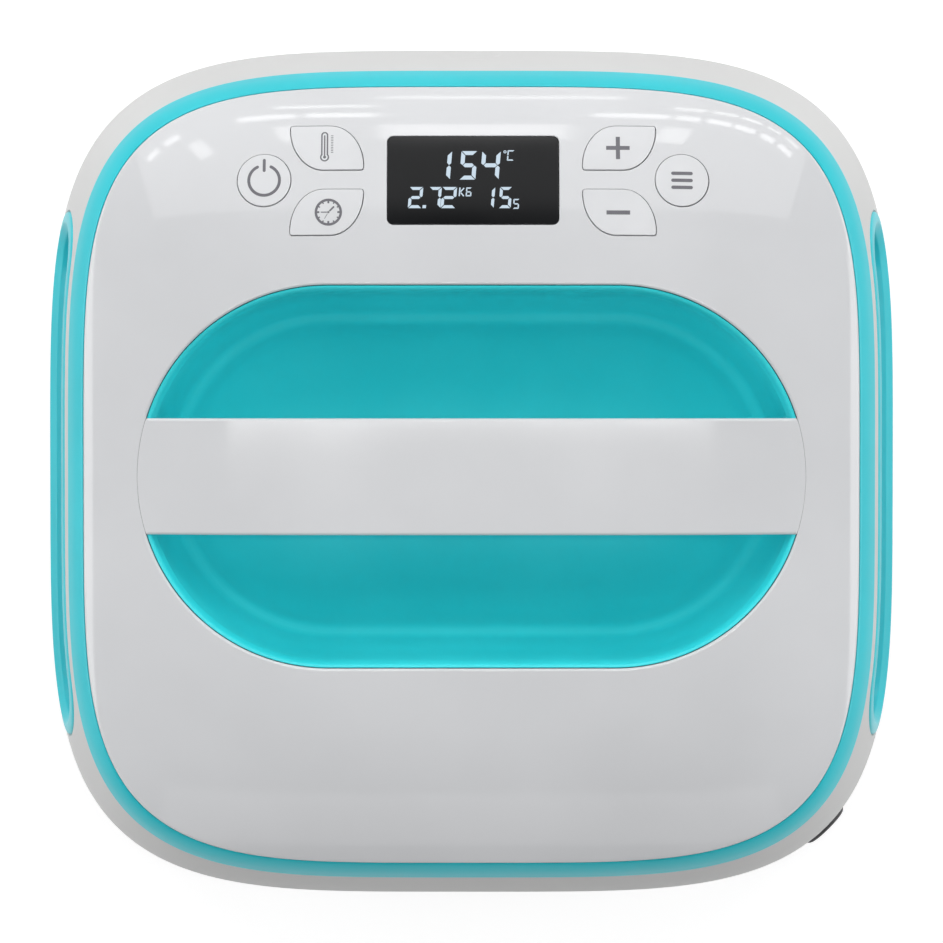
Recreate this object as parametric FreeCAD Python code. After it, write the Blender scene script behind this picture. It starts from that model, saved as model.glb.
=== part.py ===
"""Portable heat press with a 254 mm plate, built as separate pieces, in millimetres.

+X is right, +Y is the rear (the display's side) and +Z is up.
The origin is the middle of the plate's pressing face.
"""
import FreeCAD, Part
import math
import os

os.makedirs("parts", exist_ok=True)
Vector = FreeCAD.Vector
UP = Vector(0, 0, 1)
DOWN = Vector(0, 0, -1)

# Cutters run past what they cut, and a point this near to a face lies on it
past = 1.0
well_past = 5.0
far = 150.0
under_depth = 60.0
near = 0.05

# Screws: shank radius, shank length, head radius and head height
sensor_screw = (1.5, 5.0, 2.6, 1.6)
load_cell_screw = (1.6, 7.0, 3.0, 2.0)
power_board_screw = (1.25, 6.5, 2.6, 1.8)
clamp_screw = (1.5, 10.5, 3.0, 2.0)
closing_screw = (2.0, 17.5, 3.9, 2.8)
bowl_screw = (1.2, 3.4, 3.4, 1.6)
cover_screw = (1.45, 15.5, 3.0, 2.2)
handle_screw = (1.8, 5.0, 2.35, 2.0)
bar_screw = (1.5, 12.0, 3.2, 1.6)
board_screw = (0.9, 7.5, 2.2, 1.6)
recess_width_share = 0.4
recess_depth_share = 0.6

# Heating plate and what lies over it
plate_half = 127.0
plate_power = 4.1
plate_thick = 11.0
plate_edge_round = 1.5
element_radius = 3.3
element_z = 10.2
element_outer = 106.0
element_inner_x = 45.0
element_inner_y = 62.0
element_bend = 28.0
element_end_x = 20.0
terminal_bush_length = 4.0
terminal_bush_radius = 2.8
terminal_pin_length = 8.0
terminal_pin_radius = 1.0
blanket_bottom = 13.5
blanket_top = 23.0
blanket_half = 122.0
shield_thick = 1.0
shield_half = 124.0
cutoff_y = 40.0
cutoff_radius = 8.0
cutoff_height = 10.0
cutoff_ear_half_length = 14.5
cutoff_ear_half_width = 3.0
cutoff_screw_x = 11.5
blade_x = 4.0
blade_half_thick = 0.4
blade_half_width = 2.4
blade_height = 6.0
probe_y = -40.0
probe_lug_radius = 4.0
probe_neck_half = 1.5
probe_neck_reach = (3.0, 9.0)
bead_radius = 1.8
bead_start = 8.0
bead_length = 9.0
sensor_lug_thick = 1.0
blanket_gap = 1.0
cutoff_window = (16.0, 10.0)
probe_window = (6.0, -6.0, 20.0)
shield_lip = 6.0
stud_gap = 0.2
wire_slot_half = 12.0
wire_slot_runs = [(34.0, 46.0), (96.0, 108.0)]

# Load cells at the plate's corners
cell_offset = 80.0
cell_side = 34.0
cell_thick = 3.0
cell_slot_half = 10.0
cell_tongue_half = 7.0
cell_screw_offset = 13.5
stud_foot_radius = 2.5
stud_foot_length = 6.0
stud_radius = 4.0
stud_neck_radius = 3.0
stud_tip_radius = 2.5
stud_tip_top = 44.0
nut_height = 4.0
nut_across_corners = 9.2

# Base tray, the dark skirt round the plate
tray_bottom = 6.0
tray_web_bottom = 30.0
tray_web_top = 33.0
tray_half = 130.6
tray_wall = 2.4
cell_seat_height = 2.0
cell_seat_root = 31.0
cell_seat_half = 3.5
cell_hole_radius = 6.0
closing_post_radius = 5.0
closing_post_top = 50.0
closing_hole_bottom = 36.0
board_post_radius = 3.0
board_hole_bottom = 35.0
pillar_pin_x = 107.5
pillar_pin_y = 8.0
pillar_pin_radius = 2.0

# Lower housing: half widths of its side wall at heights up from the table
outline_power = 4.115
outline_seam = math.radians(62)
outline_points = 64
housing_wall = 2.6
housing_profile = [
    (20.0, 134.0),
    (24.0, 136.9),
    (29.0, 139.0),
    (36.0, 140.0),
    (45.0, 139.65),
    (55.0, 138.4),
    (65.0, 136.3),
    (75.0, 133.3),
    (84.0, 130.0),
]
profile_foot = (18.5, 132.7)
profile_head = (86.0, 129.2)
housing_top = 84.0
shelf_thick = 3.5
shelf_outer_half = 129.2
shelf_inner_half = 113.0
shelf_notch_gap = 1.5
shelf_notch_half = 15.0
ledge_thick = 2.5
ledge_outer_half = 138.4
ledge_inner_half = 126.0
cover_screw_hole = 1.6
dimple_wall = 136.5
dimple_z = 64.0
dimple_radius = 8.5
dimple_depth = 1.6

# Side grips
grip_z = 59.0
grip_frame_half_length = 86.3
grip_frame_half_height = 19.5
grip_opening_half_length = 80.4
grip_opening_half_height = 14.0
grip_pocket_back = 123.5
grip_wall = 2.2
grip_proud = 0.3
grip_frame_depth = 3.0
grip_bevel = 2.2
grip_gap = 0.2
grip_pocket_inset = 0.5
grip_cut_from = 115.0
grip_mouth_from = 129.0

# Accent ring
ring_foot_half = 129.9
ring_lip_half = 130.5
ring_lip_z = 85.2
ring_top_half = 125.1
ring_top_z = 93.0
ring_inner_half = 121.6
ring_power = 4.17
ring_inner_power = 4.2
ring_seat_gap = 0.3
ring_seat_z = 92.2

# Top cover: a dome that is flat in the middle and falls faster and faster towards its rim
dome_top = 112.0
dome_drop = 16.0
dome_margin = 3.0
dome_steps = 20
cover_half = 124.5
cover_power = 4.3
cover_thick = 2.6
cover_edge_round = 1.4
bowl_half_length = 106.7
bowl_radius = 60.95
bowl_edge_round = 0.8
cover_screw_half = 117.6
cover_screw_top = 96.5
cover_boss_radius = 3.4
boss_drop = 0.6

# Hand bowl: how far its wall stands in from the rim, at falling heights
bowl_profile = [
    (112.5, 2.2),
    (104.0, 2.5),
    (95.0, 3.2),
    (86.0, 4.8),
    (78.0, 8.2),
    (71.0, 14.5),
    (65.0, 24.0),
    (60.6, 37.0),
    (58.0, 50.0),
]
bowl_wall = 2.2
bowl_rim_drop = 0.8
bowl_flange = 7.0
bowl_flange_overlap = 1.0
bowl_flange_gap = 0.2
bowl_flange_thick = 2.0
bowl_flange_low = 80.0
bowl_flange_high = 120.0
bowl_depth = 70.0
bowl_clearance = 0.15
bowl_screw_ring = 4.2
bowl_screw_share = 0.9
bowl_screw_gap = 0.2
bowl_boss_radius = 2.4
bowl_boss_drop = 5.6
closing_boss_radius = 6.2
closing_seat_radius = 4.2
closing_seat_z = 54.0
closing_hole_radius = 2.1

# Bar across the bowl
bar_half_width = 18.55
bar_bottom = 88.0
bar_split = 98.0
bar_floor = 3.0
bar_wall = 2.2
bar_bottom_round = 9.0
bar_top_round = 1.0
bar_under_cover = 112.0
bar_gap = 0.25
bar_ceiling = 2.4
bar_floor_round = 6.0
bar_boss_radius = 3.2
bar_boss_drop = 1.0
bar_screw_top = 103.0
bar_screw_hole = 1.7
bar_recess_radius = 3.4
bar_recess = 1.8
bar_notch_gap = 0.2
bar_notch_from = 85.0
bar_notch_to = 125.0
stiffener_thick = 3.0
stiffener_half_width = 10.0
stiffener_lip = 5.0
stiffener_lip_thick = 2.0
stiffener_lip_end = 104.0
stiffener_end = 118.5
pillar_outer = 119.5
pillar_inner = 112.8
pillar_foot_inner = 104.0
pillar_cheek_inner = 108.0
pillar_half_width = 12.0
pillar_sheet = 2.0
bar_screw_places = (-80.0, -35.0, 35.0, 80.0)
closing_screw_places = (-48.0, -16.0, 16.0, 48.0)
handle_screw_x = 114.9
handle_screw_y = 6.0
handle_screw_gap = 0.05

# Control panel: tilted with the dome, its own z square to the cover
panel_x = 0.5
panel_y = 94.4
panel_gap = 0.3
panel_low = -6.0
panel_high = 4.0
lens_length = 54.6
lens_width = 29.0
lens_corner = 2.0
lens_thick = 1.5
lens_ledge = 1.5
lens_gap = 0.1
round_button_x = 66.45
round_button_radius = 8.45
leaf_x = 46.5
leaf_y = 10.55
leaf_length = 23.2
leaf_width = 14.65
leaf_large_corner = 11.2
leaf_small_corner = 1.4
button_proud = 0.15
button_travel = 0.7
flange_reach = 0.9
flange_top = 2.95
flange_bottom = 4.6
cap_low = -12.0
stem_top = -4.2
stem_radius = 1.9
stem_gap = 0.5
plunger_top = -9.8
plunger_radius = 1.6
plunger_length = 3.2
plunger_gap = 0.25
plunger_rest = 0.1
switch_corner = 0.4
switch_side = 6.0
switch_height = 3.6
board_top = -14.6
board_thick = 1.6
board_half_length = 79.0
board_half_width = 18.0
board_corner = 3.0
board_screw_hole = 1.2
board_screw_reach = 7.0
board_boss_radius = 2.4
board_screw_places = [(-74.0, 14.5), (-74.0, -14.5), (74.0, 14.5), (74.0, -14.5), (-30.8, 0.0), (30.8, 0.0)]
frame_top = -7.8
frame_thick = 1.2
frame_end_inset = 2.0
frame_side_inset = 1.0
module_top = -4.1
module_length = 50.0
module_width = 25.0
module_corner = 0.5
module_gap = 0.3
buzzer_place = (-18.0, 2.0)
buzzer_radius = 6.0
buzzer_height = 5.5
buzzer_hole_radius = 1.0
buzzer_hole_depth = 1.5

# Each button's outline and the side of the display it stands on: right or left, rear or front
buttons = {
    "power_button": ("round", -1, 0),
    "temperature_button": ("leaf", -1, 1),
    "timer_button": ("leaf", -1, -1),
    "plus_button": ("leaf", 1, 1),
    "minus_button": ("leaf", 1, -1),
    "preset_button": ("round", 1, 0),
}

# Power board in the front of the housing
power_board_centre = Vector(0, -92.0, 41.0)
power_board_length = 124.0
power_board_width = 44.0
power_board_inset = 5.0
power_board_hole = 1.6
transformer_x = -33.0
core_size = (32.0, 16.0, 27.0)
winding_size = (20.0, 27.0, 21.0)
relay_places = [(2.0, -89.0), (22.0, -89.0)]
relay_size = (16.0, 20.0, 16.0)
relay_round = 0.8
film_place = (45.0, -81.25)
film_size = (18.0, 7.5, 13.0)
can_places = [(38.0, -92.5), (49.0, -92.5)]
can_radius = 4.5
can_height = 16.0
fuse_start = Vector(-54.0, -100.0, 5.0)
fuse_length = 20.0
fuse_radius = 2.6
fuse_clip_places = [(-54.0, -98.0), (-54.0, -82.0)]
fuse_clip_size = (7.0, 4.0, 5.0)
terminal_place = (26.0, -107.5)
terminal_size = (44.0, 9.0, 11.0)
terminal_count = 5
terminal_pitch = 8.8
terminal_screw_radius = 2.4
terminal_screw_bottom = 6.0
terminal_mouth_half = 2.6
terminal_mouth_low = 1.5
terminal_mouth_high = 5.5
terminal_mouth_rear = -109.0
power_board_face = power_board_centre.z + board_thick

# Ribbon cable from the control board to the power board
ribbon_left = 28.0
ribbon_width = 8.0
ribbon_thick = 0.8
ribbon_rear = 80.0
ribbon_top = 88.0
ribbon_run_z = 45.0
ribbon_plug_rear = -66.0
ribbon_plug_front = -71.0
ribbon_plug_height = 4.0

# Cord gland at the front right corner
gland_turn = -45.0
gland_z = 34.0
gland_radius = 8.85
gland_face = 168.5
gland_flange_radius = 10.6
gland_flange_outer = 160.8
gland_back = 158.2
gland_round = 2.2
gland_bore_radius = 3.6
gland_gap = 0.1
gland_flange_gap = 0.3
gland_step = 162.5
gland_cut_from = 140.0
gland_cut_to = 180.0
clamp_x = 143.0
clamp_half_width = 4.0
clamp_half_length = 13.0
clamp_height = 8.0
clamp_round = 2.0
clamp_throat_z = 2.6
clamp_throat_reach = 10.0
clamp_screw_y = 9.5


def square_radius(half, power, angle):
    """Distance from the middle to a rounded square's outline in one direction."""
    c = abs(math.cos(angle))
    s = abs(math.sin(angle))
    return half / (c ** power + s ** power) ** (1 / power)


def rounded_square(half, power, z):
    """Smooth closed wire where |x|^power + |y|^power = half^power."""
    points = []
    for k in range(outline_points):
        angle = outline_seam + 2 * math.pi * k / outline_points
        radius = square_radius(half, power, angle)
        points.append(Vector(radius * math.cos(angle), radius * math.sin(angle), z))
    curve = Part.BSplineCurve()
    curve.interpolate(Points=points, PeriodicFlag=True)
    return Part.Wire([curve.toShape()])


def square_block(half, power, bottom, top):
    """Upright solid over a rounded square."""
    return Part.Face(rounded_square(half, power, bottom)).extrude(UP * (top - bottom))


def stadium(half_length, radius, z):
    """Wire of two straight sides joined by half circles, long along X."""
    straight = half_length - radius
    right = Part.Arc(Vector(straight, -radius, z), Vector(half_length, 0, z), Vector(straight, radius, z))
    left = Part.Arc(Vector(-straight, radius, z), Vector(-half_length, 0, z), Vector(-straight, -radius, z))
    front = Part.LineSegment(Vector(-straight, -radius, z), Vector(straight, -radius, z))
    rear = Part.LineSegment(Vector(straight, radius, z), Vector(-straight, radius, z))
    return Part.Wire([front.toShape(), right.toShape(), rear.toShape(), left.toShape()])


def stadium_block(half_length, radius, bottom, top):
    """Upright solid over a stadium."""
    return Part.Face(stadium(half_length, radius, bottom)).extrude(UP * (top - bottom))


def cylinder(radius, bottom, top, x=0.0, y=0.0):
    """Upright cylinder between two heights."""
    return Part.makeCylinder(radius, top - bottom, Vector(x, y, bottom))


def block(x0, x1, y0, y1, z0, z1):
    """Box between two corners."""
    return Part.makeBox(x1 - x0, y1 - y0, z1 - z0, Vector(x0, y0, z0))


def board_box(place, size):
    """Box of a length, a width and a height that stands on the power board, round a place."""
    x, y = place
    length, width, height = size
    corner = Vector(x - length / 2, y - width / 2, power_board_face)
    return Part.makeBox(length, width, height, corner)


def hexagon(corner_radius, bottom, top, x, y):
    """Upright hexagonal prism."""
    sides = 6
    points = []
    for k in range(sides + 1):
        angle = 2 * math.pi * k / sides
        across = corner_radius * math.cos(angle)
        along = corner_radius * math.sin(angle)
        points.append(Vector(x + across, y + along, bottom))
    return Part.Face(Part.makePolygon(points)).extrude(UP * (top - bottom))


def dome_height(x, y):
    """Height of the cover's outer surface, which reaches its rim at one height all round."""
    fall = abs(x / cover_half) ** cover_power + abs(y / cover_half) ** cover_power
    return dome_top - dome_drop * fall


def under_dome(offset, depth):
    """Solid of the given depth whose top is the dome's surface moved up by offset."""
    reach = cover_half + dome_margin
    grid = []
    for i in range(dome_steps + 1):
        x = reach * (2 * i / dome_steps - 1)
        row = []
        for j in range(dome_steps + 1):
            y = reach * (2 * j / dome_steps - 1)
            row.append(Vector(x, y, dome_height(x, y) + offset))
        grid.append(row)
    surface = Part.BSplineSurface()
    surface.interpolate(grid)
    return surface.toShape().extrude(UP * -depth)


def panel_placement():
    """Frame of the control panel: on the dome at the display, tilted with it."""
    slope = cover_power * dome_drop / cover_half * (panel_y / cover_half) ** (cover_power - 1)
    tilt = math.degrees(math.atan(slope))
    place = Vector(panel_x, panel_y, dome_height(0, panel_y))
    return FreeCAD.Placement(place, FreeCAD.Rotation(Vector(1, 0, 0), -tilt))


def on_panel(shape):
    """Shape drawn in the panel's own frame, put in its place."""
    placed = shape.copy()
    placed.Placement = panel_placement()
    return placed


def corner_wire(length, width, corners):
    """Rectangle round the origin with corner radii: right rear, left rear, left front, right front."""
    half_x = length / 2
    half_y = width / 2
    signs = [(1, 1), (-1, 1), (-1, -1), (1, -1)]
    edges = []
    ends = []
    for (sx, sy), radius in zip(signs, corners):
        centre = Vector(sx * (half_x - radius), sy * (half_y - radius), 0)
        middle = centre + Vector(sx, sy, 0) * (radius / math.sqrt(2))
        beside = centre + Vector(sx * radius, 0, 0)
        above = centre + Vector(0, sy * radius, 0)
        first, last = (beside, above) if sx == sy else (above, beside)
        ends.append((first, last))
        edges.append(Part.Arc(first, middle, last).toShape())
    for k in range(4):
        edges.append(Part.LineSegment(ends[k][1], ends[(k + 1) % 4][0]).toShape())
    return Part.Wire(Part.__sortEdges__(edges))


def button_outline(name, grow):
    """Outline of one button in the panel's frame, grown on every side."""
    shape, side_x, side_y = buttons[name]
    if shape == "round":
        circle = Part.Circle(Vector(side_x * round_button_x, 0, 0), UP, round_button_radius + grow)
        return Part.Wire([circle.toShape()])
    large = leaf_large_corner + grow
    small = leaf_small_corner + grow
    if side_x == side_y:
        corners = (small, large, small, large)
    else:
        corners = (large, small, large, small)
    wire = corner_wire(leaf_length + 2 * grow, leaf_width + 2 * grow, corners)
    wire.translate(Vector(side_x * leaf_x, side_y * leaf_y, 0))
    return wire


def button_centre(name):
    """Middle of one button in the panel's frame."""
    shape, side_x, side_y = buttons[name]
    if shape == "round":
        return side_x * round_button_x, 0.0
    return side_x * leaf_x, side_y * leaf_y


def panel_prism(wire, bottom, top):
    """Solid square to the panel over a wire drawn in the panel's frame."""
    face = Part.Face(wire)
    face.translate(UP * bottom)
    return on_panel(face.extrude(UP * (top - bottom)))


def panel_cylinder(radius, bottom, top, x, y):
    """Cylinder square to the panel."""
    return on_panel(cylinder(radius, bottom, top, x, y))


def cover_screw_points():
    """Eight places round the rim where the cover is screwed to the housing."""
    count = 8
    places = []
    for k in range(count):
        angle = 2 * math.pi * (k + 0.5) / count
        radius = square_radius(cover_screw_half, cover_power, angle)
        places.append((radius * math.cos(angle), radius * math.sin(angle)))
    return places


def bowl_screw_points():
    """Eight places round the bowl where its flange is screwed to the cover."""
    reach = bowl_radius + bowl_screw_ring
    straight = bowl_half_length - bowl_radius
    diagonal = reach * math.sqrt(0.5)
    places = []
    for sx in (-1, 1):
        for sy in (-1, 1):
            places.append((sx * bowl_screw_share * straight, sy * reach))
            places.append((sx * (straight + diagonal), sy * diagonal))
    return places


def edges_near(shape, test):
    """Edges of a shape whose middle point passes a test."""
    found = []
    for edge in shape.Edges:
        middle = edge.valueAt((edge.FirstParameter + edge.LastParameter) / 2)
        if test(middle):
            found.append(edge)
    return found


def on_surface(point):
    """Whether a point lies on the dome."""
    return abs(point.z - dome_height(point.x, point.y)) < near


def top_cover():
    """White dome shell with its bowl opening, button holes, display ledge and screw bosses."""
    low = ring_seat_z - well_past
    high = dome_top + well_past
    outer = square_block(cover_half, cover_power, ring_seat_z, high).common(under_dome(0, under_depth))
    outer = outer.makeFillet(cover_edge_round, edges_near(outer, on_surface))
    inner_half = cover_half - cover_thick
    inner = square_block(inner_half, cover_power, low, high).common(under_dome(-cover_thick, under_depth))
    outer = outer.cut(stadium_block(bowl_half_length, bowl_radius, low, high))
    straight = bowl_half_length - bowl_radius

    def on_opening(point):
        across = math.hypot(max(abs(point.x) - straight, 0), point.y)
        return on_surface(point) and abs(across - bowl_radius) < near

    outer = outer.makeFillet(bowl_edge_round, edges_near(outer, on_opening))
    shell = outer.cut(inner)
    bosses = []
    holes = []
    for x, y in cover_screw_points():
        bosses.append(cylinder(cover_boss_radius, housing_top, dome_top, x, y))
        holes.append(cylinder(cover_screw[0], housing_top - past, cover_screw_top, x, y))
    for x, y in bowl_screw_points():
        foot = dome_height(x, y) - bowl_boss_drop
        bosses.append(cylinder(bowl_boss_radius, foot, dome_top, x, y))
        holes.append(cylinder(bowl_screw[0], foot - past, foot + bowl_screw[1] + bowl_screw_gap, x, y))
    for x, y in board_screw_places:
        bosses.append(panel_cylinder(board_boss_radius, board_top, panel_high, x, y))
        holes.append(panel_cylinder(board_screw[0], board_top - past, board_top + board_screw_reach, x, y))
    shell = shell.fuse(bosses[0].multiFuse(bosses[1:]).common(under_dome(-boss_drop, under_depth)))
    holes.append(panel_prism(lens_outline(-lens_ledge), panel_low, panel_high))
    seat = panel_prism(lens_outline(lens_gap), panel_low, panel_high)
    holes.append(seat.cut(under_dome(-lens_thick, under_depth)))
    for name in buttons:
        holes.append(panel_prism(button_outline(name, panel_gap), panel_low, panel_high))
    return shell.cut(holes[0].multiFuse(holes[1:]))


def accent_ring():
    """Teal ring between the housing and the cover, a wide bevel with a narrow one at its foot."""
    sections = [
        rounded_square(ring_foot_half, ring_power, housing_top),
        rounded_square(ring_lip_half, ring_power, ring_lip_z),
        rounded_square(ring_top_half, cover_power, ring_top_z),
    ]
    outer = Part.makeLoft(sections, True, True)
    inner = square_block(ring_inner_half, ring_inner_power, housing_top - past, ring_top_z + past)
    seat = square_block(cover_half + ring_seat_gap, cover_power, ring_seat_z, ring_top_z + past)
    return outer.cut(inner).cut(seat)


def housing_loft(offset):
    """Solid inside the housing's side wall, moved out by offset, that runs on past both its ends."""
    sections = []
    for z, half in [profile_foot] + housing_profile + [profile_head]:
        sections.append(rounded_square(half + offset, outline_power, z))
    return Part.makeLoft(sections, True, False)


def side_block(half_length, half_height, x0, x1):
    """Solid along X over a stadium standing on its side."""
    straight = half_length - half_height
    low = grip_z - half_height
    high = grip_z + half_height
    right = Part.Arc(Vector(x0, straight, low), Vector(x0, half_length, grip_z), Vector(x0, straight, high))
    left = Part.Arc(Vector(x0, -straight, high), Vector(x0, -half_length, grip_z), Vector(x0, -straight, low))
    top = Part.LineSegment(Vector(x0, straight, high), Vector(x0, -straight, high))
    bottom = Part.LineSegment(Vector(x0, -straight, low), Vector(x0, straight, low))
    wire = Part.Wire([right.toShape(), top.toShape(), left.toShape(), bottom.toShape()])
    return Part.Face(wire).extrude(Vector(x1 - x0, 0, 0))


def mirrored(shape):
    """Copy of a shape on the other side of the YZ plane."""
    return shape.mirror(Vector(0, 0, 0), Vector(1, 0, 0))


def on_diagonal(shape):
    """Shape drawn along +X, turned to the front right corner."""
    turned = shape.copy()
    turned.rotate(Vector(0, 0, 0), UP, gland_turn)
    return turned


def gland_cylinder(radius, start, end):
    """Cylinder along the gland's axis, between two distances from the middle of the press."""
    return on_diagonal(Part.makeCylinder(radius, end - start, Vector(start, 0, gland_z), Vector(1, 0, 0)))


def lower_housing():
    """White side wall with an inner shelf for the cover, a ledge over the tray and its openings."""
    band = block(-far, far, -far, far, housing_profile[0][0], housing_top)
    shell = housing_loft(0).common(band).cut(housing_loft(-housing_wall))
    shelf_low = housing_top - shelf_thick
    shelf = square_block(shelf_outer_half, outline_power, shelf_low, housing_top)
    shelf = shelf.cut(square_block(shelf_inner_half, outline_power, shelf_low - past, housing_top + past))
    end = pillar_outer + shelf_notch_gap
    half = shelf_notch_half
    shelf = shelf.cut(block(-end, end, -half, half, shelf_low - past, housing_top + past))
    ledge_top = tray_web_top + ledge_thick
    ledge = square_block(ledge_outer_half, outline_power, tray_web_top, ledge_top)
    ledge = ledge.cut(square_block(ledge_inner_half, outline_power, tray_web_top - past, ledge_top + past))
    shell = shell.fuse(shelf).fuse(ledge)
    half_length = grip_frame_half_length + grip_gap
    half_height = grip_frame_half_height + grip_gap
    hole = side_block(half_length, half_height, grip_cut_from, far)
    shell = shell.cut(hole).cut(mirrored(hole))
    shell = shell.cut(gland_cylinder(gland_radius + gland_gap, gland_step, gland_cut_to))
    shell = shell.cut(gland_cylinder(gland_flange_radius + gland_flange_gap, gland_cut_from, gland_step))
    ball = (dimple_radius ** 2 + dimple_depth ** 2) / (2 * dimple_depth)
    shell = shell.cut(Part.makeSphere(ball, Vector(0, dimple_wall - dimple_depth + ball, dimple_z)))
    for x, y in cover_screw_points():
        shell = shell.cut(cylinder(cover_screw_hole, shelf_low - past, housing_top + past, x, y))
    return shell


def side_grip_right():
    """Teal grip pocket for the right wall: a bevelled frame round a deep hand hold."""
    skin = housing_loft(grip_proud)
    frame = side_block(grip_frame_half_length, grip_frame_half_height, grip_cut_from, far).common(skin)
    frame = frame.cut(housing_loft(-grip_frame_depth))
    half_length = grip_opening_half_length
    half_height = grip_opening_half_height
    back = grip_pocket_back
    pocket = side_block(half_length + grip_wall, half_height + grip_wall, back - grip_wall, far)
    grip = frame.fuse(pocket.common(housing_loft(-grip_pocket_inset)))
    grip = grip.cut(side_block(half_length, half_height, back, far))

    def on_mouth(point):
        across = math.hypot(max(abs(point.y) - half_length + half_height, 0), point.z - grip_z)
        return abs(across - half_height) < near and point.x > grip_mouth_from

    return grip.makeChamfer(grip_bevel, edges_near(grip, on_mouth))


def side_grip_left():
    """The left wall's grip pocket, the mirror of the right one."""
    return mirrored(side_grip_right())


def heating_plate():
    """Cast aluminium plate with a groove for its heating element."""
    plate = square_block(plate_half, plate_power, 0, plate_thick)
    plate = plate.makeFillet(plate_edge_round, edges_near(plate, lambda p: p.z < near))
    plate = plate.cut(heating_element())
    start = Vector(-element_end_x - past, element_outer, element_z)
    between = Part.makeCylinder(element_radius, 2 * (element_end_x + past), start, Vector(1, 0, 0))
    plate = plate.cut(between)
    top = plate_thick + past
    for x, y in cell_points():
        plate = plate.cut(cylinder(stud_foot_radius, plate_thick - stud_foot_length - past, top, x, y))
    for x, y in sensor_screw_points():
        plate = plate.cut(cylinder(sensor_screw[0], plate_thick - sensor_screw[1], top, x, y))
    return plate


def rounded_path(corners, radius):
    """Path through corner points with every turn as an arc."""
    edges = []
    start = corners[0]
    for k in range(1, len(corners) - 1):
        before = (corners[k - 1] - corners[k]).normalize()
        after = (corners[k + 1] - corners[k]).normalize()
        half_turn = before.getAngle(after) / 2
        reach = radius / math.tan(half_turn)
        first = corners[k] + before * reach
        last = corners[k] + after * reach
        towards = (before + after).normalize()
        centre = corners[k] + towards * (radius / math.sin(half_turn))
        middle = centre - towards * radius
        edges.append(Part.LineSegment(start, first).toShape())
        edges.append(Part.Arc(first, middle, last).toShape())
        start = last
    edges.append(Part.LineSegment(start, corners[-1]).toShape())
    return Part.Wire(edges)


def heating_element():
    """Tubular element bent into one long loop over the plate."""
    z = element_z
    out = element_outer
    right = [
        Vector(element_end_x, out, z),
        Vector(out, out, z),
        Vector(out, -out, z),
        Vector(element_inner_x, -out, z),
        Vector(element_inner_x, element_inner_y, z),
    ]
    left = [Vector(-p.x, p.y, p.z) for p in reversed(right)]
    path = rounded_path(right + left, element_bend)
    section = Part.Wire([Part.Circle(right[0], Vector(1, 0, 0), element_radius).toShape()])
    return path.makePipeShell([section], True, False)


def element_terminals():
    """Ceramic bush and pin at each end of the element."""
    pieces = []
    for side in (-1, 1):
        axis = Vector(-side, 0, 0)
        start = Vector(side * element_end_x, element_outer, element_z)
        bush = Part.makeCylinder(terminal_bush_radius, terminal_bush_length, start, axis)
        pin_start = start + axis * terminal_bush_length
        pin = Part.makeCylinder(terminal_pin_radius, terminal_pin_length, pin_start, axis)
        pieces.append(bush.fuse(pin))
    return Part.makeCompound(pieces)


def cell_points():
    """Places of the four load cells and their studs."""
    places = []
    for sx in (-1, 1):
        for sy in (-1, 1):
            places.append((sx * cell_offset, sy * cell_offset))
    return places


def sensor_screw_points():
    """Places of the screws that hold the thermal cut-off and the temperature probe."""
    return [(-cutoff_screw_x, cutoff_y), (cutoff_screw_x, cutoff_y), (0.0, probe_y)]


def thermal_cutoff():
    """Bimetal disc switch with two mounting ears and two blade terminals."""
    top = plate_thick + cutoff_height
    ear = cutoff_ear_half_length
    front = cutoff_y - cutoff_ear_half_width
    rear = cutoff_y + cutoff_ear_half_width
    ear_top = plate_thick + sensor_lug_thick
    body = cylinder(cutoff_radius, plate_thick, top, 0, cutoff_y)
    switch = body.fuse(block(-ear, ear, front, rear, plate_thick, ear_top))
    for x, y in sensor_screw_points()[:2]:
        switch = switch.cut(cylinder(sensor_screw[0], plate_thick - past, ear_top + past, x, y))
    half = blade_half_thick
    wide = blade_half_width
    for x in (-blade_x, blade_x):
        blade = block(x - half, x + half, cutoff_y - wide, cutoff_y + wide, top, top + blade_height)
        switch = switch.fuse(blade)
    return switch


def temperature_probe():
    """Ring lug with a crimped sensor bead."""
    top = plate_thick + sensor_lug_thick
    lug = cylinder(probe_lug_radius, plate_thick, top, 0, probe_y)
    lug = lug.cut(cylinder(sensor_screw[0], plate_thick - past, top + past, 0, probe_y))
    start, end = probe_neck_reach
    neck = block(-probe_neck_half, probe_neck_half, probe_y + start, probe_y + end, plate_thick, top)
    bead_place = Vector(0, probe_y + bead_start, plate_thick + bead_radius)
    bead = Part.makeCylinder(bead_radius, bead_length, bead_place, Vector(0, 1, 0))
    return lug.fuse(neck).fuse(bead)


def pan_screw(shank_radius, shank_length, head_radius, head_height, place, axis):
    """Screw whose head bears on a place and whose shank runs from there along an axis."""
    top = place - axis * head_height
    shank = Part.makeCylinder(shank_radius, shank_length, place, axis)
    head = Part.makeCylinder(head_radius, head_height, top, axis)
    recess = Part.makeCylinder(head_radius * recess_width_share, head_height * recess_depth_share, top, axis)
    return shank.fuse(head).cut(recess)


def sensor_screws():
    """Screws of the cut-off and the probe."""
    screws = []
    for x, y in sensor_screw_points():
        screws.append(pan_screw(*sensor_screw, Vector(x, y, plate_thick + sensor_lug_thick), DOWN))
    return Part.makeCompound(screws)


def insulation_blanket():
    """Ceramic fibre blanket over the plate, open round the studs and the sensors."""
    low = blanket_bottom - past
    high = blanket_top + past
    blanket = square_block(blanket_half, plate_power, blanket_bottom, blanket_top)
    for x, y in cell_points():
        blanket = blanket.cut(cylinder(stud_radius + blanket_gap, low, high, x, y))
    half, wide = cutoff_window
    blanket = blanket.cut(block(-half, half, cutoff_y - wide, cutoff_y + wide, low, high))
    half, front, rear = probe_window
    return blanket.cut(block(-half, half, probe_y + front, probe_y + rear, low, high))


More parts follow.
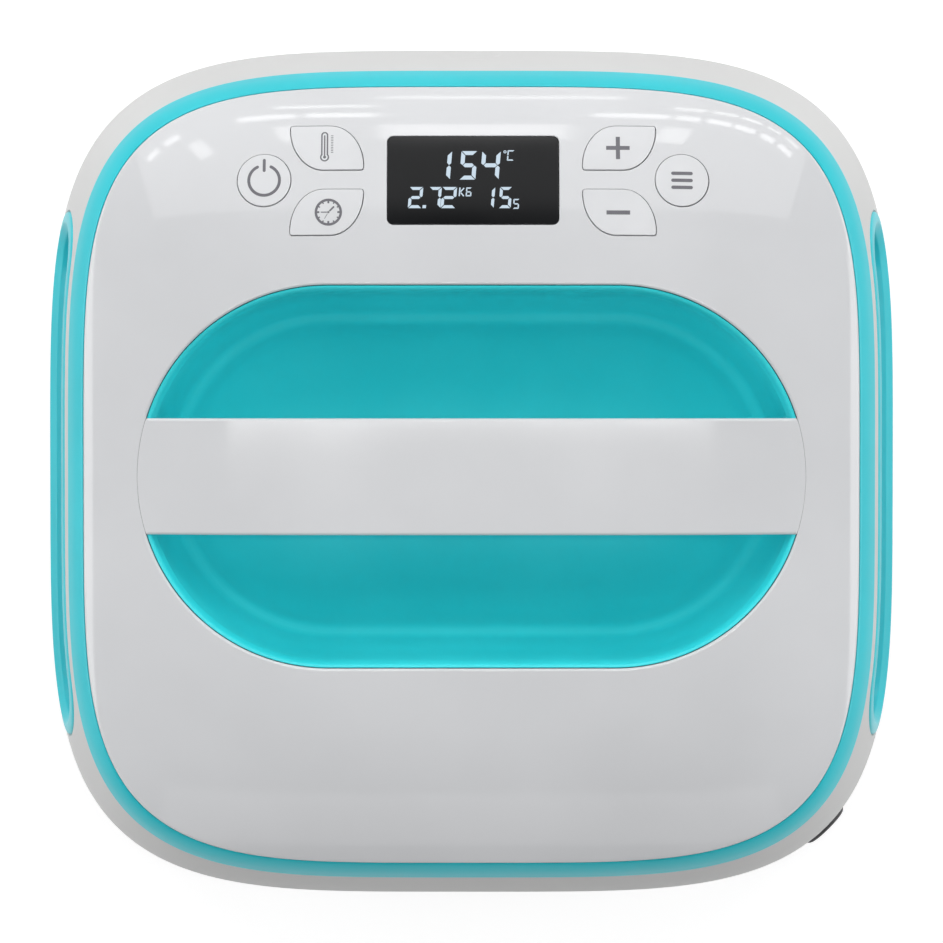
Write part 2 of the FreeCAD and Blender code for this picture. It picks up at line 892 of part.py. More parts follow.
def heat_shield():
    """Thin steel sheet over the blanket, with a turned-down lip."""
    top = blanket_top + shield_thick
    lip_low = blanket_top - shield_lip
    sheet = square_block(shield_half, plate_power, blanket_top, top)
    lip = square_block(shield_half, plate_power, lip_low, top)
    lip = lip.cut(square_block(shield_half - shield_thick, plate_power, lip_low - past, blanket_top))
    shield = sheet.fuse(lip)
    for x, y in cell_points():
        shield = shield.cut(cylinder(stud_neck_radius + stud_gap, blanket_top - past, top + past, x, y))
    for front, rear in wire_slot_runs:
        slot = block(-wire_slot_half, wire_slot_half, front, rear, blanket_top - past, top + past)
        shield = shield.cut(slot)
    return shield


def plate_studs():
    """Four stepped studs that carry the plate from the load cells."""
    studs = []
    cell_bottom = tray_web_top + cell_seat_height
    for x, y in cell_points():
        stud = cylinder(stud_foot_radius, plate_thick - stud_foot_length, plate_thick, x, y)
        stud = stud.fuse(cylinder(stud_radius, plate_thick, blanket_top, x, y))
        stud = stud.fuse(cylinder(stud_neck_radius, blanket_top, cell_bottom, x, y))
        studs.append(stud.fuse(cylinder(stud_tip_radius, cell_bottom, stud_tip_top, x, y)))
    return Part.makeCompound(studs)


def load_cells():
    """Four steel load cells, each a frame with a tongue that bends under the plate's stud."""
    cells = []
    bottom = tray_web_top + cell_seat_height
    top = bottom + cell_thick
    low = bottom - past
    high = top + past
    half = cell_side / 2
    slot = cell_slot_half
    tongue = cell_tongue_half
    for x, y in cell_points():
        cell = block(x - half, x + half, y - half, y + half, bottom, top)
        cell = cell.cut(block(x - slot, x + slot, y - slot, y + slot, low, high))
        cell = cell.fuse(block(x - tongue, x + tongue, y - slot, y + tongue, bottom, top))
        cell = cell.cut(cylinder(stud_tip_radius, low, high, x, y))
        for side in (-1, 1):
            cell = cell.cut(cylinder(load_cell_screw[0], low, high, x + side * cell_screw_offset, y))
        cells.append(cell)
    return Part.makeCompound(cells)


def stud_nuts():
    """Nuts that clamp the load cells' tongues to the studs."""
    nuts = []
    bottom = tray_web_top + cell_seat_height + cell_thick
    top = bottom + nut_height
    for x, y in cell_points():
        nut = hexagon(nut_across_corners / 2, bottom, top, x, y)
        nuts.append(nut.cut(cylinder(stud_tip_radius, bottom - past, top + past, x, y)))
    return Part.makeCompound(nuts)


def load_cell_screws():
    """Two screws through each load cell's frame into the tray."""
    screws = []
    top = tray_web_top + cell_seat_height + cell_thick
    for x, y in cell_points():
        for side in (-1, 1):
            screws.append(pan_screw(*load_cell_screw, Vector(x + side * cell_screw_offset, y, top), DOWN))
    return Part.makeCompound(screws)


def base_tray():
    """Dark tray: a skirt round the plate under a web that carries the load cells and the pillars."""
    tray = square_block(tray_half, outline_power, tray_bottom, tray_web_top)
    tray = tray.cut(square_block(tray_half - tray_wall, outline_power, tray_bottom - past, tray_web_bottom))
    root = cell_seat_root
    seat_top = tray_web_top + cell_seat_height
    half = cell_side / 2
    wide = cell_seat_half
    for x, y in cell_points():
        for side in (-1, 1):
            middle = y + side * cell_screw_offset
            tray = tray.fuse(block(x - half, x + half, middle - wide, middle + wide, root, seat_top))
            tray = tray.fuse(cylinder(wide, root, seat_top, x + side * cell_screw_offset, y))
    for x in closing_screw_places:
        tray = tray.fuse(cylinder(closing_post_radius, tray_web_bottom, closing_post_top, x, 0))
    for x, y in power_board_screw_points():
        tray = tray.fuse(cylinder(board_post_radius, tray_web_bottom, power_board_centre.z, x, y))
    for x, y in pillar_pin_points():
        tray = tray.fuse(cylinder(pillar_pin_radius, tray_web_bottom, tray_web_top + pillar_sheet, x, y))
    low = tray_web_bottom - past
    high = seat_top + past
    holes = []
    for x, y in cell_points():
        holes.append(cylinder(cell_hole_radius, low, high, x, y))
        for side in (-1, 1):
            holes.append(cylinder(load_cell_screw[0], root, high, x + side * cell_screw_offset, y))
    for x in closing_screw_places:
        holes.append(cylinder(closing_screw[0], closing_hole_bottom, closing_post_top + past, x, 0))
    for x, y in power_board_screw_points():
        holes.append(cylinder(power_board_screw[0], board_hole_bottom, power_board_centre.z + past, x, y))
    for front, rear in wire_slot_runs:
        holes.append(block(-wire_slot_half, wire_slot_half, front, rear, low, high))
    for x, y in clamp_screw_points():
        holes.append(cylinder(clamp_screw[0], low, high, x, y))
    return tray.cut(holes[0].multiFuse(holes[1:]))


def pillar_pin_points():
    """Places of the four pins of the tray that locate the pillars' feet."""
    places = []
    for sx in (-1, 1):
        for sy in (-1, 1):
            places.append((sx * pillar_pin_x, sy * pillar_pin_y))
    return places


def power_board_screw_points():
    """Places of the four screws that hold the power board."""
    places = []
    for sx in (-1, 1):
        for sy in (-1, 1):
            x = sx * (power_board_length / 2 - power_board_inset)
            places.append((x, power_board_centre.y + sy * (power_board_width / 2 - power_board_inset)))
    return places


def power_board():
    """Circuit board that switches the element."""
    half = power_board_length / 2
    width = power_board_width / 2
    z = power_board_centre.z
    y = power_board_centre.y
    board = block(-half, half, y - width, y + width, z, z + board_thick)
    for x, y in power_board_screw_points():
        board = board.cut(cylinder(power_board_hole, z - past, z + board_thick + past, x, y))
    return board


def power_board_screws():
    """Screws of the power board."""
    screws = []
    for x, y in power_board_screw_points():
        screws.append(pan_screw(*power_board_screw, Vector(x, y, power_board_face), DOWN))
    return Part.makeCompound(screws)


def transformer():
    """Mains transformer of the controls' supply: windings on a laminated core."""
    place = (transformer_x, power_board_centre.y)
    return board_box(place, core_size).fuse(board_box(place, winding_size))


def relays():
    """Two relays that switch the element."""
    foot = power_board_face + past
    pieces = []
    for place in relay_places:
        box = board_box(place, relay_size)
        pieces.append(box.makeFillet(relay_round, edges_near(box, lambda p: p.z > foot)))
    return Part.makeCompound(pieces)


def filter_capacitors():
    """One film and two round filter capacitors."""
    z = power_board_face
    pieces = [board_box(film_place, film_size)]
    for x, y in can_places:
        pieces.append(cylinder(can_radius, z, z + can_height, x, y))
    return Part.makeCompound(pieces)


def glass_fuse():
    """Glass fuse in its two clips."""
    fuse = Part.makeCylinder(fuse_radius, fuse_length, fuse_start + UP * power_board_face, Vector(0, 1, 0))
    for place in fuse_clip_places:
        fuse = fuse.fuse(board_box(place, fuse_clip_size))
    return fuse


def terminal_block():
    """Screw terminals where the supply cord and the element's leads join the board."""
    z = power_board_face
    body = board_box(terminal_place, terminal_size)
    top = z + terminal_size[2] + past
    front = terminal_place[1] - terminal_size[1] / 2 - past
    half = terminal_mouth_half
    low = z + terminal_mouth_low
    high = z + terminal_mouth_high
    for k in range(terminal_count):
        x = terminal_place[0] + terminal_pitch * (k - (terminal_count - 1) / 2)
        body = body.cut(cylinder(terminal_screw_radius, z + terminal_screw_bottom, top, x, terminal_place[1]))
        body = body.cut(block(x - half, x + half, front, terminal_mouth_rear, low, high))
    return body


def clamp_screw_points():
    """Places of the two screws of the cord clamp."""
    places = []
    for side in (-1, 1):
        point = on_diagonal(Part.Vertex(clamp_x, side * clamp_screw_y, 0)).Point
        places.append((point.x, point.y))
    return places


def cord_clamp():
    """Saddle that grips the supply cord behind the gland."""
    z = tray_web_top
    top = z + clamp_height
    axis_z = z + clamp_throat_z
    start = clamp_x - clamp_throat_reach
    end = clamp_x + clamp_throat_reach
    bore = gland_bore_radius
    half = clamp_half_length
    saddle = block(clamp_x - clamp_half_width, clamp_x + clamp_half_width, -half, half, z, top)
    saddle = saddle.cut(Part.makeCylinder(bore, end - start, Vector(start, 0, axis_z), Vector(1, 0, 0)))
    saddle = saddle.cut(block(start, end, -bore, bore, z - past, axis_z))

    def on_end(point):
        return abs(point.z - top) < near and abs(point.x - clamp_x) < past

    saddle = on_diagonal(saddle.makeFillet(clamp_round, edges_near(saddle, on_end)))
    for x, y in clamp_screw_points():
        saddle = saddle.cut(cylinder(clamp_screw[0], z - past, top + past, x, y))
    return saddle


def clamp_screws():
    """Screws of the cord clamp."""
    screws = []
    for x, y in clamp_screw_points():
        screws.append(pan_screw(*clamp_screw, Vector(x, y, tray_web_top + clamp_height), DOWN))
    return Part.makeCompound(screws)


def cord_gland():
    """Round rubber gland at the front right corner, flanged inside the wall, with the cord's bore."""
    body = gland_cylinder(gland_radius, gland_back, gland_face)
    axis_point = on_diagonal(Part.Vertex(gland_face, 0, gland_z)).Point
    outward = Vector(1, -1, 0).normalize()

    def on_face(point):
        return abs((point - axis_point).dot(outward)) < near

    body = body.makeFillet(gland_round, edges_near(body, on_face))
    body = body.fuse(gland_cylinder(gland_flange_radius, gland_back, gland_flange_outer))
    return body.cut(gland_cylinder(gland_bore_radius, gland_back - past, gland_face + past))


def offset_profile(profile, distance):
    """Profile moved outwards and down, square to itself, by a distance."""
    moved = []
    for k, (z, inset) in enumerate(profile):
        z0, inset0 = profile[max(k - 1, 0)]
        z1, inset1 = profile[min(k + 1, len(profile) - 1)]
        length = math.hypot(z1 - z0, inset1 - inset0)
        moved.append((z - distance * (inset1 - inset0) / length, inset + distance * (z1 - z0) / length))
    return moved


def bowl_loft(profile):
    """Solid inside a bowl wall given by heights and insets from the rim."""
    sections = []
    for z, inset in reversed(profile):
        sections.append(stadium(bowl_half_length - inset, bowl_radius - inset, z))
    return Part.makeLoft(sections, True, False)


def bar_section(gap, z_top, x_from, x_to):
    """Solid along X with the bar's rounded underside, grown by a gap."""
    half = bar_half_width + gap
    low = bar_bottom - gap
    turn = bar_bottom_round
    slant = turn * (1 - math.sqrt(0.5))
    points = [
        Vector(x_from, -half, z_top),
        Vector(x_from, -half, low + turn),
        Vector(x_from, -half + turn, low),
        Vector(x_from, half - turn, low),
        Vector(x_from, half, low + turn),
        Vector(x_from, half, z_top),
    ]
    edges = [
        Part.LineSegment(points[0], points[1]).toShape(),
        Part.Arc(points[1], Vector(x_from, -half + slant, low + slant), points[2]).toShape(),
        Part.LineSegment(points[2], points[3]).toShape(),
        Part.Arc(points[3], Vector(x_from, half - slant, low + slant), points[4]).toShape(),
        Part.LineSegment(points[4], points[5]).toShape(),
        Part.LineSegment(points[5], points[0]).toShape(),
    ]
    return Part.Face(Part.Wire(edges)).extrude(Vector(x_to - x_from, 0, 0))


def handle_well():
    """Teal hand bowl with a flange under the cover, notched for the bar."""
    outside = bowl_loft(offset_profile(bowl_profile, bowl_wall - bowl_clearance))
    inside = bowl_loft(bowl_profile)
    wall = outside.cut(inside).common(under_dome(-bowl_rim_drop, bowl_depth))
    low = bowl_flange_low
    high = bowl_flange_high
    lap = bowl_flange_overlap
    flange = stadium_block(bowl_half_length + bowl_flange, bowl_radius + bowl_flange, low, high)
    flange = flange.cut(stadium_block(bowl_half_length - lap, bowl_radius - lap, low - past, high + past))
    flange = flange.common(under_dome(-cover_thick - bowl_flange_gap, bowl_flange_thick))
    well = wall.fuse(flange)
    for x, y in bowl_screw_points():
        well = well.cut(cylinder(bowl_boss_radius + bowl_clearance, low, high, x, y))
    notch = bar_section(bar_notch_gap, high, bar_notch_from, bar_notch_to)
    well = well.cut(notch).cut(mirrored(notch))
    floor = bowl_profile[-1][0]
    for x in closing_screw_places:
        well = well.fuse(cylinder(closing_boss_radius, closing_post_top, floor - past, x, 0))
    for x in closing_screw_places:
        well = well.cut(cylinder(closing_seat_radius, closing_seat_z, floor + past, x, 0))
        well = well.cut(cylinder(closing_hole_radius, closing_post_top - past, floor, x, 0))
    return well


def closing_screws():
    """Four screws in the bowl's floor, under the bar, that close the press onto its tray."""
    screws = []
    for x in closing_screw_places:
        screws.append(pan_screw(*closing_screw, Vector(x, 0, closing_seat_z), DOWN))
    return Part.makeCompound(screws)


def well_screws():
    """Eight screws that hold the bowl's flange to the cover."""
    screws = []
    for x, y in bowl_screw_points():
        screws.append(pan_screw(*bowl_screw, Vector(x, y, dome_height(x, y) - bowl_boss_drop), UP))
    return Part.makeCompound(screws)


def cover_screws():
    """Eight screws that hold the cover to the housing's shelf."""
    screws = []
    for x, y in cover_screw_points():
        screws.append(pan_screw(*cover_screw, Vector(x, y, housing_top - shelf_thick), UP))
    return Part.makeCompound(screws)


def handle_top_shell():
    """Upper half of the bar, its top flush with the dome."""
    high = dome_top + well_past
    half = bar_half_width
    inner = half - bar_wall
    envelope = stadium_block(bowl_half_length - bar_gap, bowl_radius - bar_gap, bar_split, high)
    envelope = envelope.common(block(-far, far, -half, half, bar_split, high))
    envelope = envelope.common(under_dome(0, under_depth))

    def on_long_edge(point):
        return on_surface(point) and abs(abs(point.y) - half) < near

    envelope = envelope.makeFillet(bar_top_round, edges_near(envelope, on_long_edge))
    hollow = block(-far, far, -inner, inner, bar_split - past, high)
    shell = envelope.cut(hollow.common(under_dome(-bar_ceiling, under_depth)))
    bosses = []
    low = bar_bottom + bar_floor + stiffener_thick
    for x in bar_screw_places:
        bosses.append(cylinder(bar_boss_radius, low, dome_top, x, 0))
    shell = shell.fuse(bosses[0].multiFuse(bosses[1:]).common(under_dome(-bar_boss_drop, under_depth)))
    for x in bar_screw_places:
        shell = shell.cut(cylinder(bar_screw[0], low - past, bar_screw_top, x, 0))
    return shell


def handle_bottom_shell():
    """Lower half of the bar, a round-bottomed channel that reaches under the cover."""
    shell = bar_section(0, bar_split, -bar_under_cover, bar_under_cover)
    inner = bar_half_width - bar_wall
    floor = bar_bottom + bar_floor
    hollow = block(-far, far, -inner, inner, floor, bar_split + past)

    def on_floor_side(point):
        return abs(point.z - floor) < near and abs(abs(point.y) - inner) < near

    shell = shell.cut(hollow.makeFillet(bar_floor_round, edges_near(hollow, on_floor_side)))
    for x in bar_screw_places:
        shell = shell.cut(cylinder(bar_recess_radius, bar_bottom - past, bar_bottom + bar_recess, x, 0))
        shell = shell.cut(cylinder(bar_screw_hole, bar_bottom, floor + past, x, 0))
    return shell


def handle_stiffener():
    """Steel channel inside the bar that carries the hands' load to the pillars."""
    low = bar_bottom + bar_floor
    top = low + stiffener_thick
    half = stiffener_half_width
    thick = stiffener_lip_thick
    end = stiffener_lip_end
    web = block(-stiffener_end, stiffener_end, -half, half, low, top)
    for front in (-half, half - thick):
        web = web.fuse(block(-end, end, front, front + thick, low, top + stiffener_lip))
    for x in bar_screw_places:
        web = web.cut(cylinder(bar_screw_hole, low - past, top + past, x, 0))
    for x, y in handle_screw_points():
        web = web.cut(cylinder(handle_screw[0] + handle_screw_gap, low - past, top + past, x, y))
    return web


def handle_screw_points():
    """Places of the four screws that hold the stiffener to the pillars."""
    places = []
    for sx in (-1, 1):
        for sy in (-1, 1):
            places.append((sx * handle_screw_x, sy * handle_screw_y))
    return places


def handle_pillars():
    """Two steel brackets that stand on the tray and hold up the stiffener's ends."""
    foot_z = tray_web_top
    top = bar_bottom + bar_floor
    sheet = pillar_sheet
    half = pillar_half_width
    outer = pillar_outer
    pillar = block(outer - sheet, outer, -half, half, foot_z, top)
    pillar = pillar.fuse(block(pillar_inner, outer, -half, half, top - sheet, top))
    pillar = pillar.fuse(block(pillar_foot_inner, outer, -half, half, foot_z, foot_z + sheet))
    for front in (-half, half - sheet):
        cheek = block(pillar_cheek_inner, outer, front, front + sheet, foot_z, housing_top)
        pillar = pillar.fuse(cheek)
    pair = [pillar, mirrored(pillar)]
    holes = []
    for x, y in handle_screw_points():
        holes.append(cylinder(handle_screw[0] + handle_screw_gap, top - sheet - past, top + past, x, y))
    for x, y in pillar_pin_points():
        holes.append(cylinder(pillar_pin_radius, foot_z - past, foot_z + sheet + past, x, y))
    cutter = holes[0].multiFuse(holes[1:])
    return Part.makeCompound([bracket.cut(cutter) for bracket in pair])


def handle_screws():
    """Screws that hold the stiffener to the pillars."""
    screws = []
    for x, y in handle_screw_points():
        screws.append(pan_screw(*handle_screw, Vector(x, y, bar_bottom + bar_floor - pillar_sheet), UP))
    return Part.makeCompound(screws)


def bar_screws():
    """Screws under the bar that hold its two shells to the stiffener."""
    screws = []
    for x in bar_screw_places:
        screws.append(pan_screw(*bar_screw, Vector(x, 0, bar_bottom + bar_recess), UP))
    return Part.makeCompound(screws)


def lens_outline(offset):
    """Outline of the lens, moved out by offset."""
    return corner_wire(lens_length + 2 * offset, lens_width + 2 * offset, [lens_corner + offset] * 4)


def display_lens():
    """Dark lens over the display, flush with the dome."""
    lens = panel_prism(lens_outline(0), panel_low, panel_high)
    return lens.common(under_dome(0, under_depth)).cut(under_dome(-lens_thick, under_depth))


def display_module():
    """Segment display standing on the control board."""
    return panel_prism(corner_wire(module_length, module_width, [module_corner] * 4), board_top, module_top)


def control_board():
    """Circuit board behind the buttons."""
    low = board_top - board_thick
    wire = corner_wire(2 * board_half_length, 2 * board_half_width, [board_corner] * 4)
    board = panel_prism(wire, low, board_top)
    for x, y in board_screw_places:
        board = board.cut(panel_cylinder(board_screw_hole, low - past, board_top + past, x, y))
    return board


def control_board_screws():
    """Screws that hold the control board to the cover's bosses."""
    screws = []
    outward = panel_placement().Rotation.multVec(UP)
    for x, y in board_screw_places:
        place = panel_placement().multVec(Vector(x, y, board_top - board_thick))
        screws.append(pan_screw(*board_screw, place, outward))
    return Part.makeCompound(screws)


def button_frame():
    """Guide plate under the button caps, clear of their stems and of the display."""
    low = frame_top - frame_thick
    length = 2 * (board_half_length - frame_end_inset)
    width = 2 * (board_half_width - frame_side_inset)
    frame = panel_prism(corner_wire(length, width, [board_corner] * 4), low, frame_top)
    window = corner_wire(module_length + 2 * module_gap, module_width + 2 * module_gap, [module_corner] * 4)
    frame = frame.cut(panel_prism(window, low - past, frame_top + past))
    for name in buttons:
        x, y = button_centre(name)
        frame = frame.cut(panel_cylinder(stem_radius + stem_gap, low - past, frame_top + past, x, y))
    for x, y in board_screw_places:
        frame = frame.cut(panel_cylinder(board_boss_radius, low - past, frame_top + past, x, y))
    return frame


def tact_switches():
    """Bodies of the six switches under the buttons."""
    pieces = []
    top = board_top + switch_height
    well = plunger_top - plunger_length - button_travel - plunger_rest
    for name in buttons:
        x, y = button_centre(name)
        wire = corner_wire(switch_side, switch_side, [switch_corner] * 4)
        wire.translate(Vector(x, y, 0))
        body = panel_prism(wire, board_top, top)
        pieces.append(body.cut(panel_cylinder(plunger_radius + plunger_gap, well, top + past, x, y)))
    return Part.makeCompound(pieces)


def buzzer():
    """Buzzer under the control board."""
    top = board_top - board_thick
    low = top - buzzer_height
    body = panel_cylinder(buzzer_radius, low, top, *buzzer_place)
    return body.cut(panel_cylinder(buzzer_hole_radius, low - past, low + buzzer_hole_depth, *buzzer_place))


def button_cap(name):
    """One button cap: its face follows the dome, with a flange and a stem below."""
    foot = under_dome(-flange_bottom, under_depth)
    face = panel_prism(button_outline(name, 0), cap_low, panel_high)
    face = face.common(under_dome(button_proud, under_depth))
    flange = panel_prism(button_outline(name, flange_reach), cap_low, panel_high)
    flange = flange.common(under_dome(-flange_top, under_depth))
    x, y = button_centre(name)
    stem = panel_cylinder(stem_radius, plunger_top, stem_top, x, y)
    return face.cut(foot).fuse(flange.cut(foot)).fuse(stem)


def plunger(name):
    """Plunger of one switch, under the button's stem."""
    x, y = button_centre(name)
    return panel_cylinder(plunger_radius, plunger_top - plunger_length, plunger_top, x, y)


def ribbon_cable():
    """Flat cable from the control board down and forward to the power board."""
    left = ribbon_left
    right = left + ribbon_width
    rear = ribbon_rear + ribbon_thick
    low = ribbon_run_z
    front = ribbon_plug_rear
    plug_top = low + ribbon_plug_height
    down = block(left, right, ribbon_rear, rear, low, ribbon_top)
    along = block(left, right, front, rear, low, low + ribbon_thick)
    plug = block(left, right, ribbon_plug_front, front, power_board_face, plug_top)
    return down.fuse(along).fuse(plug)


makers = [
    heating_plate,
    heating_element,
    element_terminals,
    thermal_cutoff,
    temperature_probe,
    sensor_screws,
    insulation_blanket,
    heat_shield,
    plate_studs,
    load_cells,
    stud_nuts,
    load_cell_screws,
    base_tray,
    lower_housing,
    side_grip_right,
    side_grip_left,
    accent_ring,
    cord_gland,
    cord_clamp,
    clamp_screws,
    power_board,
    power_board_screws,
    transformer,
    relays,
    filter_capacitors,
    glass_fuse,
    terminal_block,
    handle_well,
    well_screws,
    closing_screws,
    handle_pillars,
    handle_stiffener,
    handle_bottom_shell,
    handle_top_shell,
    handle_screws,
    bar_screws,
    top_cover,
    cover_screws,
    display_lens,
    display_module,
    control_board,
    control_board_screws,
    button_frame,
    tact_switches,
    buzzer,
    ribbon_cable,
]


def save(name, shape):
    """Write one piece to its own file."""
    shape.exportStep("parts/" + name + ".step")
    print(name, len(shape.Solids), round(shape.Volume, 1), shape.isValid())


def build():
    """Write every piece."""
    for maker in makers:
        save(maker.__name__, maker())
    for name in buttons:
        save(name, button_cap(name))
        save(name.replace("button", "plunger"), plunger(name))


if __name__ == "__main__":
    build()
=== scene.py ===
import math

import bpy
import numpy as np
from mathutils.geometry import delaunay_2d_cdt
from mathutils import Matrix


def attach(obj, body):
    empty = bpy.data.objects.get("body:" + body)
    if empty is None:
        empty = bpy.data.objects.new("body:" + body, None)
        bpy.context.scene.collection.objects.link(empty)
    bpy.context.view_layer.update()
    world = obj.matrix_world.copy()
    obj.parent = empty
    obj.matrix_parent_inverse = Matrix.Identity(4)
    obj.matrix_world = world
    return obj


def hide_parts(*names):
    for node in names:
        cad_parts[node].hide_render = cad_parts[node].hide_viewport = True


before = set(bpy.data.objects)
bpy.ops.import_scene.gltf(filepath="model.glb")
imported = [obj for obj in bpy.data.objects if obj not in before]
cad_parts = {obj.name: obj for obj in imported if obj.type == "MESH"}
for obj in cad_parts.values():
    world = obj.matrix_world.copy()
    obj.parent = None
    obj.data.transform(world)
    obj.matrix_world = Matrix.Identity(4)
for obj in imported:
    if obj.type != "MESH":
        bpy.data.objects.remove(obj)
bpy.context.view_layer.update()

# Dimensions in millimetres, the same as the part's. +X is right, +Y is the rear and +Z is up.
metres_per_mm = 0.001
dome_top = 112.0
dome_drop = 16.0
cover_half = 124.5
cover_power = 4.3
cover_thick = 2.6
cover_edge_round = 1.4
ring_seat_z = 92.2
bowl_half_length = 106.7
bowl_radius = 60.95
bowl_edge_round = 0.8
bar_half_width = 18.55
bar_bottom = 88.0
bar_split = 98.0
bar_wall = 2.2
bar_bottom_round = 9.0
bar_top_round = 1.0
bar_under_cover = 112.0
bar_corner = 0.6
outline_power = 4.115
housing_wall = 2.6
housing_heights = [18.5, 20.0, 24.0, 29.0, 36.0, 45.0, 55.0, 65.0, 75.0, 84.0, 86.0]
housing_halves = [132.7, 134.0, 136.9, 139.0, 140.0, 139.65, 138.4, 136.3, 133.3, 130.0, 129.2]
housing_bottom = 20.0
housing_top = 84.0
grip_z = 59.0
grip_opening = (80.4, 14.0)
grip_frame = (86.3, 19.5)
grip_pocket_back = 123.5
grip_proud = 0.3
grip_bevel = 2.2
dimple_z = 64.0
dimple_radius = 8.5
dimple_depth = 1.6
gland_z = 34.0
gland_hole_radius = 8.95
bowl_heights = [112.5, 104.0, 95.0, 86.0, 79.6, 77.2, 76.2, 74.0, 70.0, 65.0, 60.6, 58.0]
bowl_insets = [2.2, 2.5, 3.2, 4.9, 7.4, 9.0, 11.0, 12.9, 16.0, 24.0, 37.0, 50.0]
panel_x = 0.5
panel_y = 94.4
lens_size = (54.6, 29.0)
lens_corner = 2.0
lens_thick = 1.5
round_button_x = 66.45
round_button_radius = 8.45
leaf_centre = (46.5, 10.55)
leaf_size = (23.2, 14.65)
leaf_large_corner = (10.6, 13.6)
leaf_small_corner = 0.7
button_proud = 0.15
button_gap = 0.24
cap_shift = (-0.03, 0.09)
# Numbers of the mesh work
turn_steps = 6
rim_turn_steps = 8
rim_points = 560
least_arc_points = 4
newton_steps = 8
points_at_once = 500
same_place = 1e-4
clear_of_edge = 0.55
fill_tolerance = 1e-7
sharp_angle = math.radians(38)
agreeing = 0.6
quarter = math.pi / 2

# Distances between points, along an edge or over a filled area
cap_spacing = 1.3
stem_spacing = 0.6
brim_spacing = 2.0
lens_spacing = 2.0
lens_back_spacing = 4.0
ink_spacing = 3.0
side_spacing = 1.0
cover_spacing = 2.4
cover_back_spacing = 5.0
ledge_spacing = 3.0
opening_spacing = 1.6
wall_spacing = 2.6
grip_hole_spacing = 1.5
grip_spacing = 1.6
edge_only = 50.0
bowl_spacing = 1.7
bowl_floor_spacing = 4.0
bowl_back_spacing = 8.0
screw_spacing = 0.8
bar_spacing = 1.2
bar_ceiling_spacing = 6.0


def unit(vectors):
    """Vectors divided by their lengths."""
    return vectors / np.linalg.norm(vectors, axis=-1, keepdims=True)


def dome_height(x, y):
    """Height of the cover: the top less the drop times |x/half|^power + |y/half|^power."""
    fall = np.abs(x / cover_half) ** cover_power + np.abs(y / cover_half) ** cover_power
    return dome_top - dome_drop * fall


def dome_normal(x, y):
    """Upward normal of the dome: minus its slope in x, minus its slope in y, and 1, made unit."""
    steep = cover_power * dome_drop / cover_half
    slope_x = steep * np.sign(x) * np.abs(x / cover_half) ** (cover_power - 1)
    slope_y = steep * np.sign(y) * np.abs(y / cover_half) ** (cover_power - 1)
    return unit(np.stack([slope_x, slope_y, np.ones_like(slope_x)], axis=-1))


def smooth_curve(knots, values, at):
    """Natural cubic spline through the knots: its second slopes solve one tridiagonal system."""
    knots = np.asarray(knots, float)
    values = np.asarray(values, float)
    gaps = np.diff(knots)
    size = len(knots)
    matrix = np.eye(size)
    right = np.zeros(size)
    inner = np.arange(1, size - 1)
    matrix[inner, inner] = 2 * (gaps[:-1] + gaps[1:])
    matrix[inner, inner - 1] = gaps[:-1]
    matrix[inner, inner + 1] = gaps[1:]
    right[1:-1] = 6 * np.diff(np.diff(values) / gaps)
    bend = np.linalg.solve(matrix, right)
    k = np.clip(np.searchsorted(knots, at) - 1, 0, size - 2)
    gap = gaps[k]
    before = (knots[k + 1] - at) / gap
    after = (at - knots[k]) / gap
    cubic = ((before ** 3 - before) * bend[k] + (after ** 3 - after) * bend[k + 1]) * gap ** 2 / 6
    return before * values[k] + after * values[k + 1] + cubic


def housing_half(z):
    """Half width of the housing's wall at a height."""
    return smooth_curve(housing_heights, housing_halves, z)


# Outlines: rings of plan points with the outward normal of the outline at each


def rays(angles):
    """Rows of (cos a, sin a)."""
    return np.stack([np.cos(angles), np.sin(angles)], axis=1)


def even_angles(count):
    """Angles that divide a full turn evenly."""
    return np.arange(count) * 2 * math.pi / count


def at_height(plan, z):
    """Points (x, y) at one height, or each at its own."""
    return np.column_stack([plan, np.broadcast_to(z, len(plan))])


def at_side(upright, x):
    """Points (y, z) at one x, or each at its own."""
    return np.column_stack([np.broadcast_to(x, len(upright)), upright])


def on_cover(plan, lift=0.0):
    """Points (x, y) on the dome's surface, moved up by lift."""
    return at_height(plan, dome_height(*plan.T) + lift)


def arc(centre, radius, start, end, spacing):
    """Points centre + radius (cos a, sin a) for a from start to end, with their normals."""
    count = max(least_arc_points, int(abs(end - start) * radius / spacing) + 2)
    normals = rays(np.linspace(start, end, count))
    return np.asarray(centre) + radius * normals, normals


def closed_outline(arcs, spacing):
    """Arcs joined in turn by straight runs, which are divided at the spacing."""
    points = []
    normals = []
    for k, (places, facing) in enumerate(arcs):
        points.append(places)
        normals.append(facing)
        start = places[-1]
        end = arcs[(k + 1) % len(arcs)][0][0]
        parts = max(1, int(np.linalg.norm(end - start) / spacing))
        share = np.arange(1, parts)[:, None] / parts
        points.append(start + (end - start) * share)
        normals.append(np.repeat(facing[-1:], parts - 1, axis=0))
    points = np.concatenate(points)
    normals = np.concatenate(normals)
    apart = np.linalg.norm(points - np.roll(points, 1, axis=0), axis=1) > same_place
    return points[apart], normals[apart]


def stadium(half_length, radius, spacing):
    """Two half circles joined by straight sides."""
    straight = half_length - radius
    right = arc((straight, 0), radius, -quarter, quarter, spacing)
    left = arc((-straight, 0), radius, quarter, 3 * quarter, spacing)
    return closed_outline([right, left], spacing)


def rounded_rectangle(centre, size, corners, spacing):
    """Rectangle with a radius for each corner: right rear, left rear, left front, right front."""
    arcs = []
    for k, (sign, radius) in enumerate(zip([(1, 1), (-1, 1), (-1, -1), (1, -1)], corners)):
        middle = np.asarray(centre) + np.array(sign) * (np.asarray(size) / 2 - radius)
        arcs.append(arc(middle, radius, k * quarter, (k + 1) * quarter, spacing))
    return closed_outline(arcs, spacing)


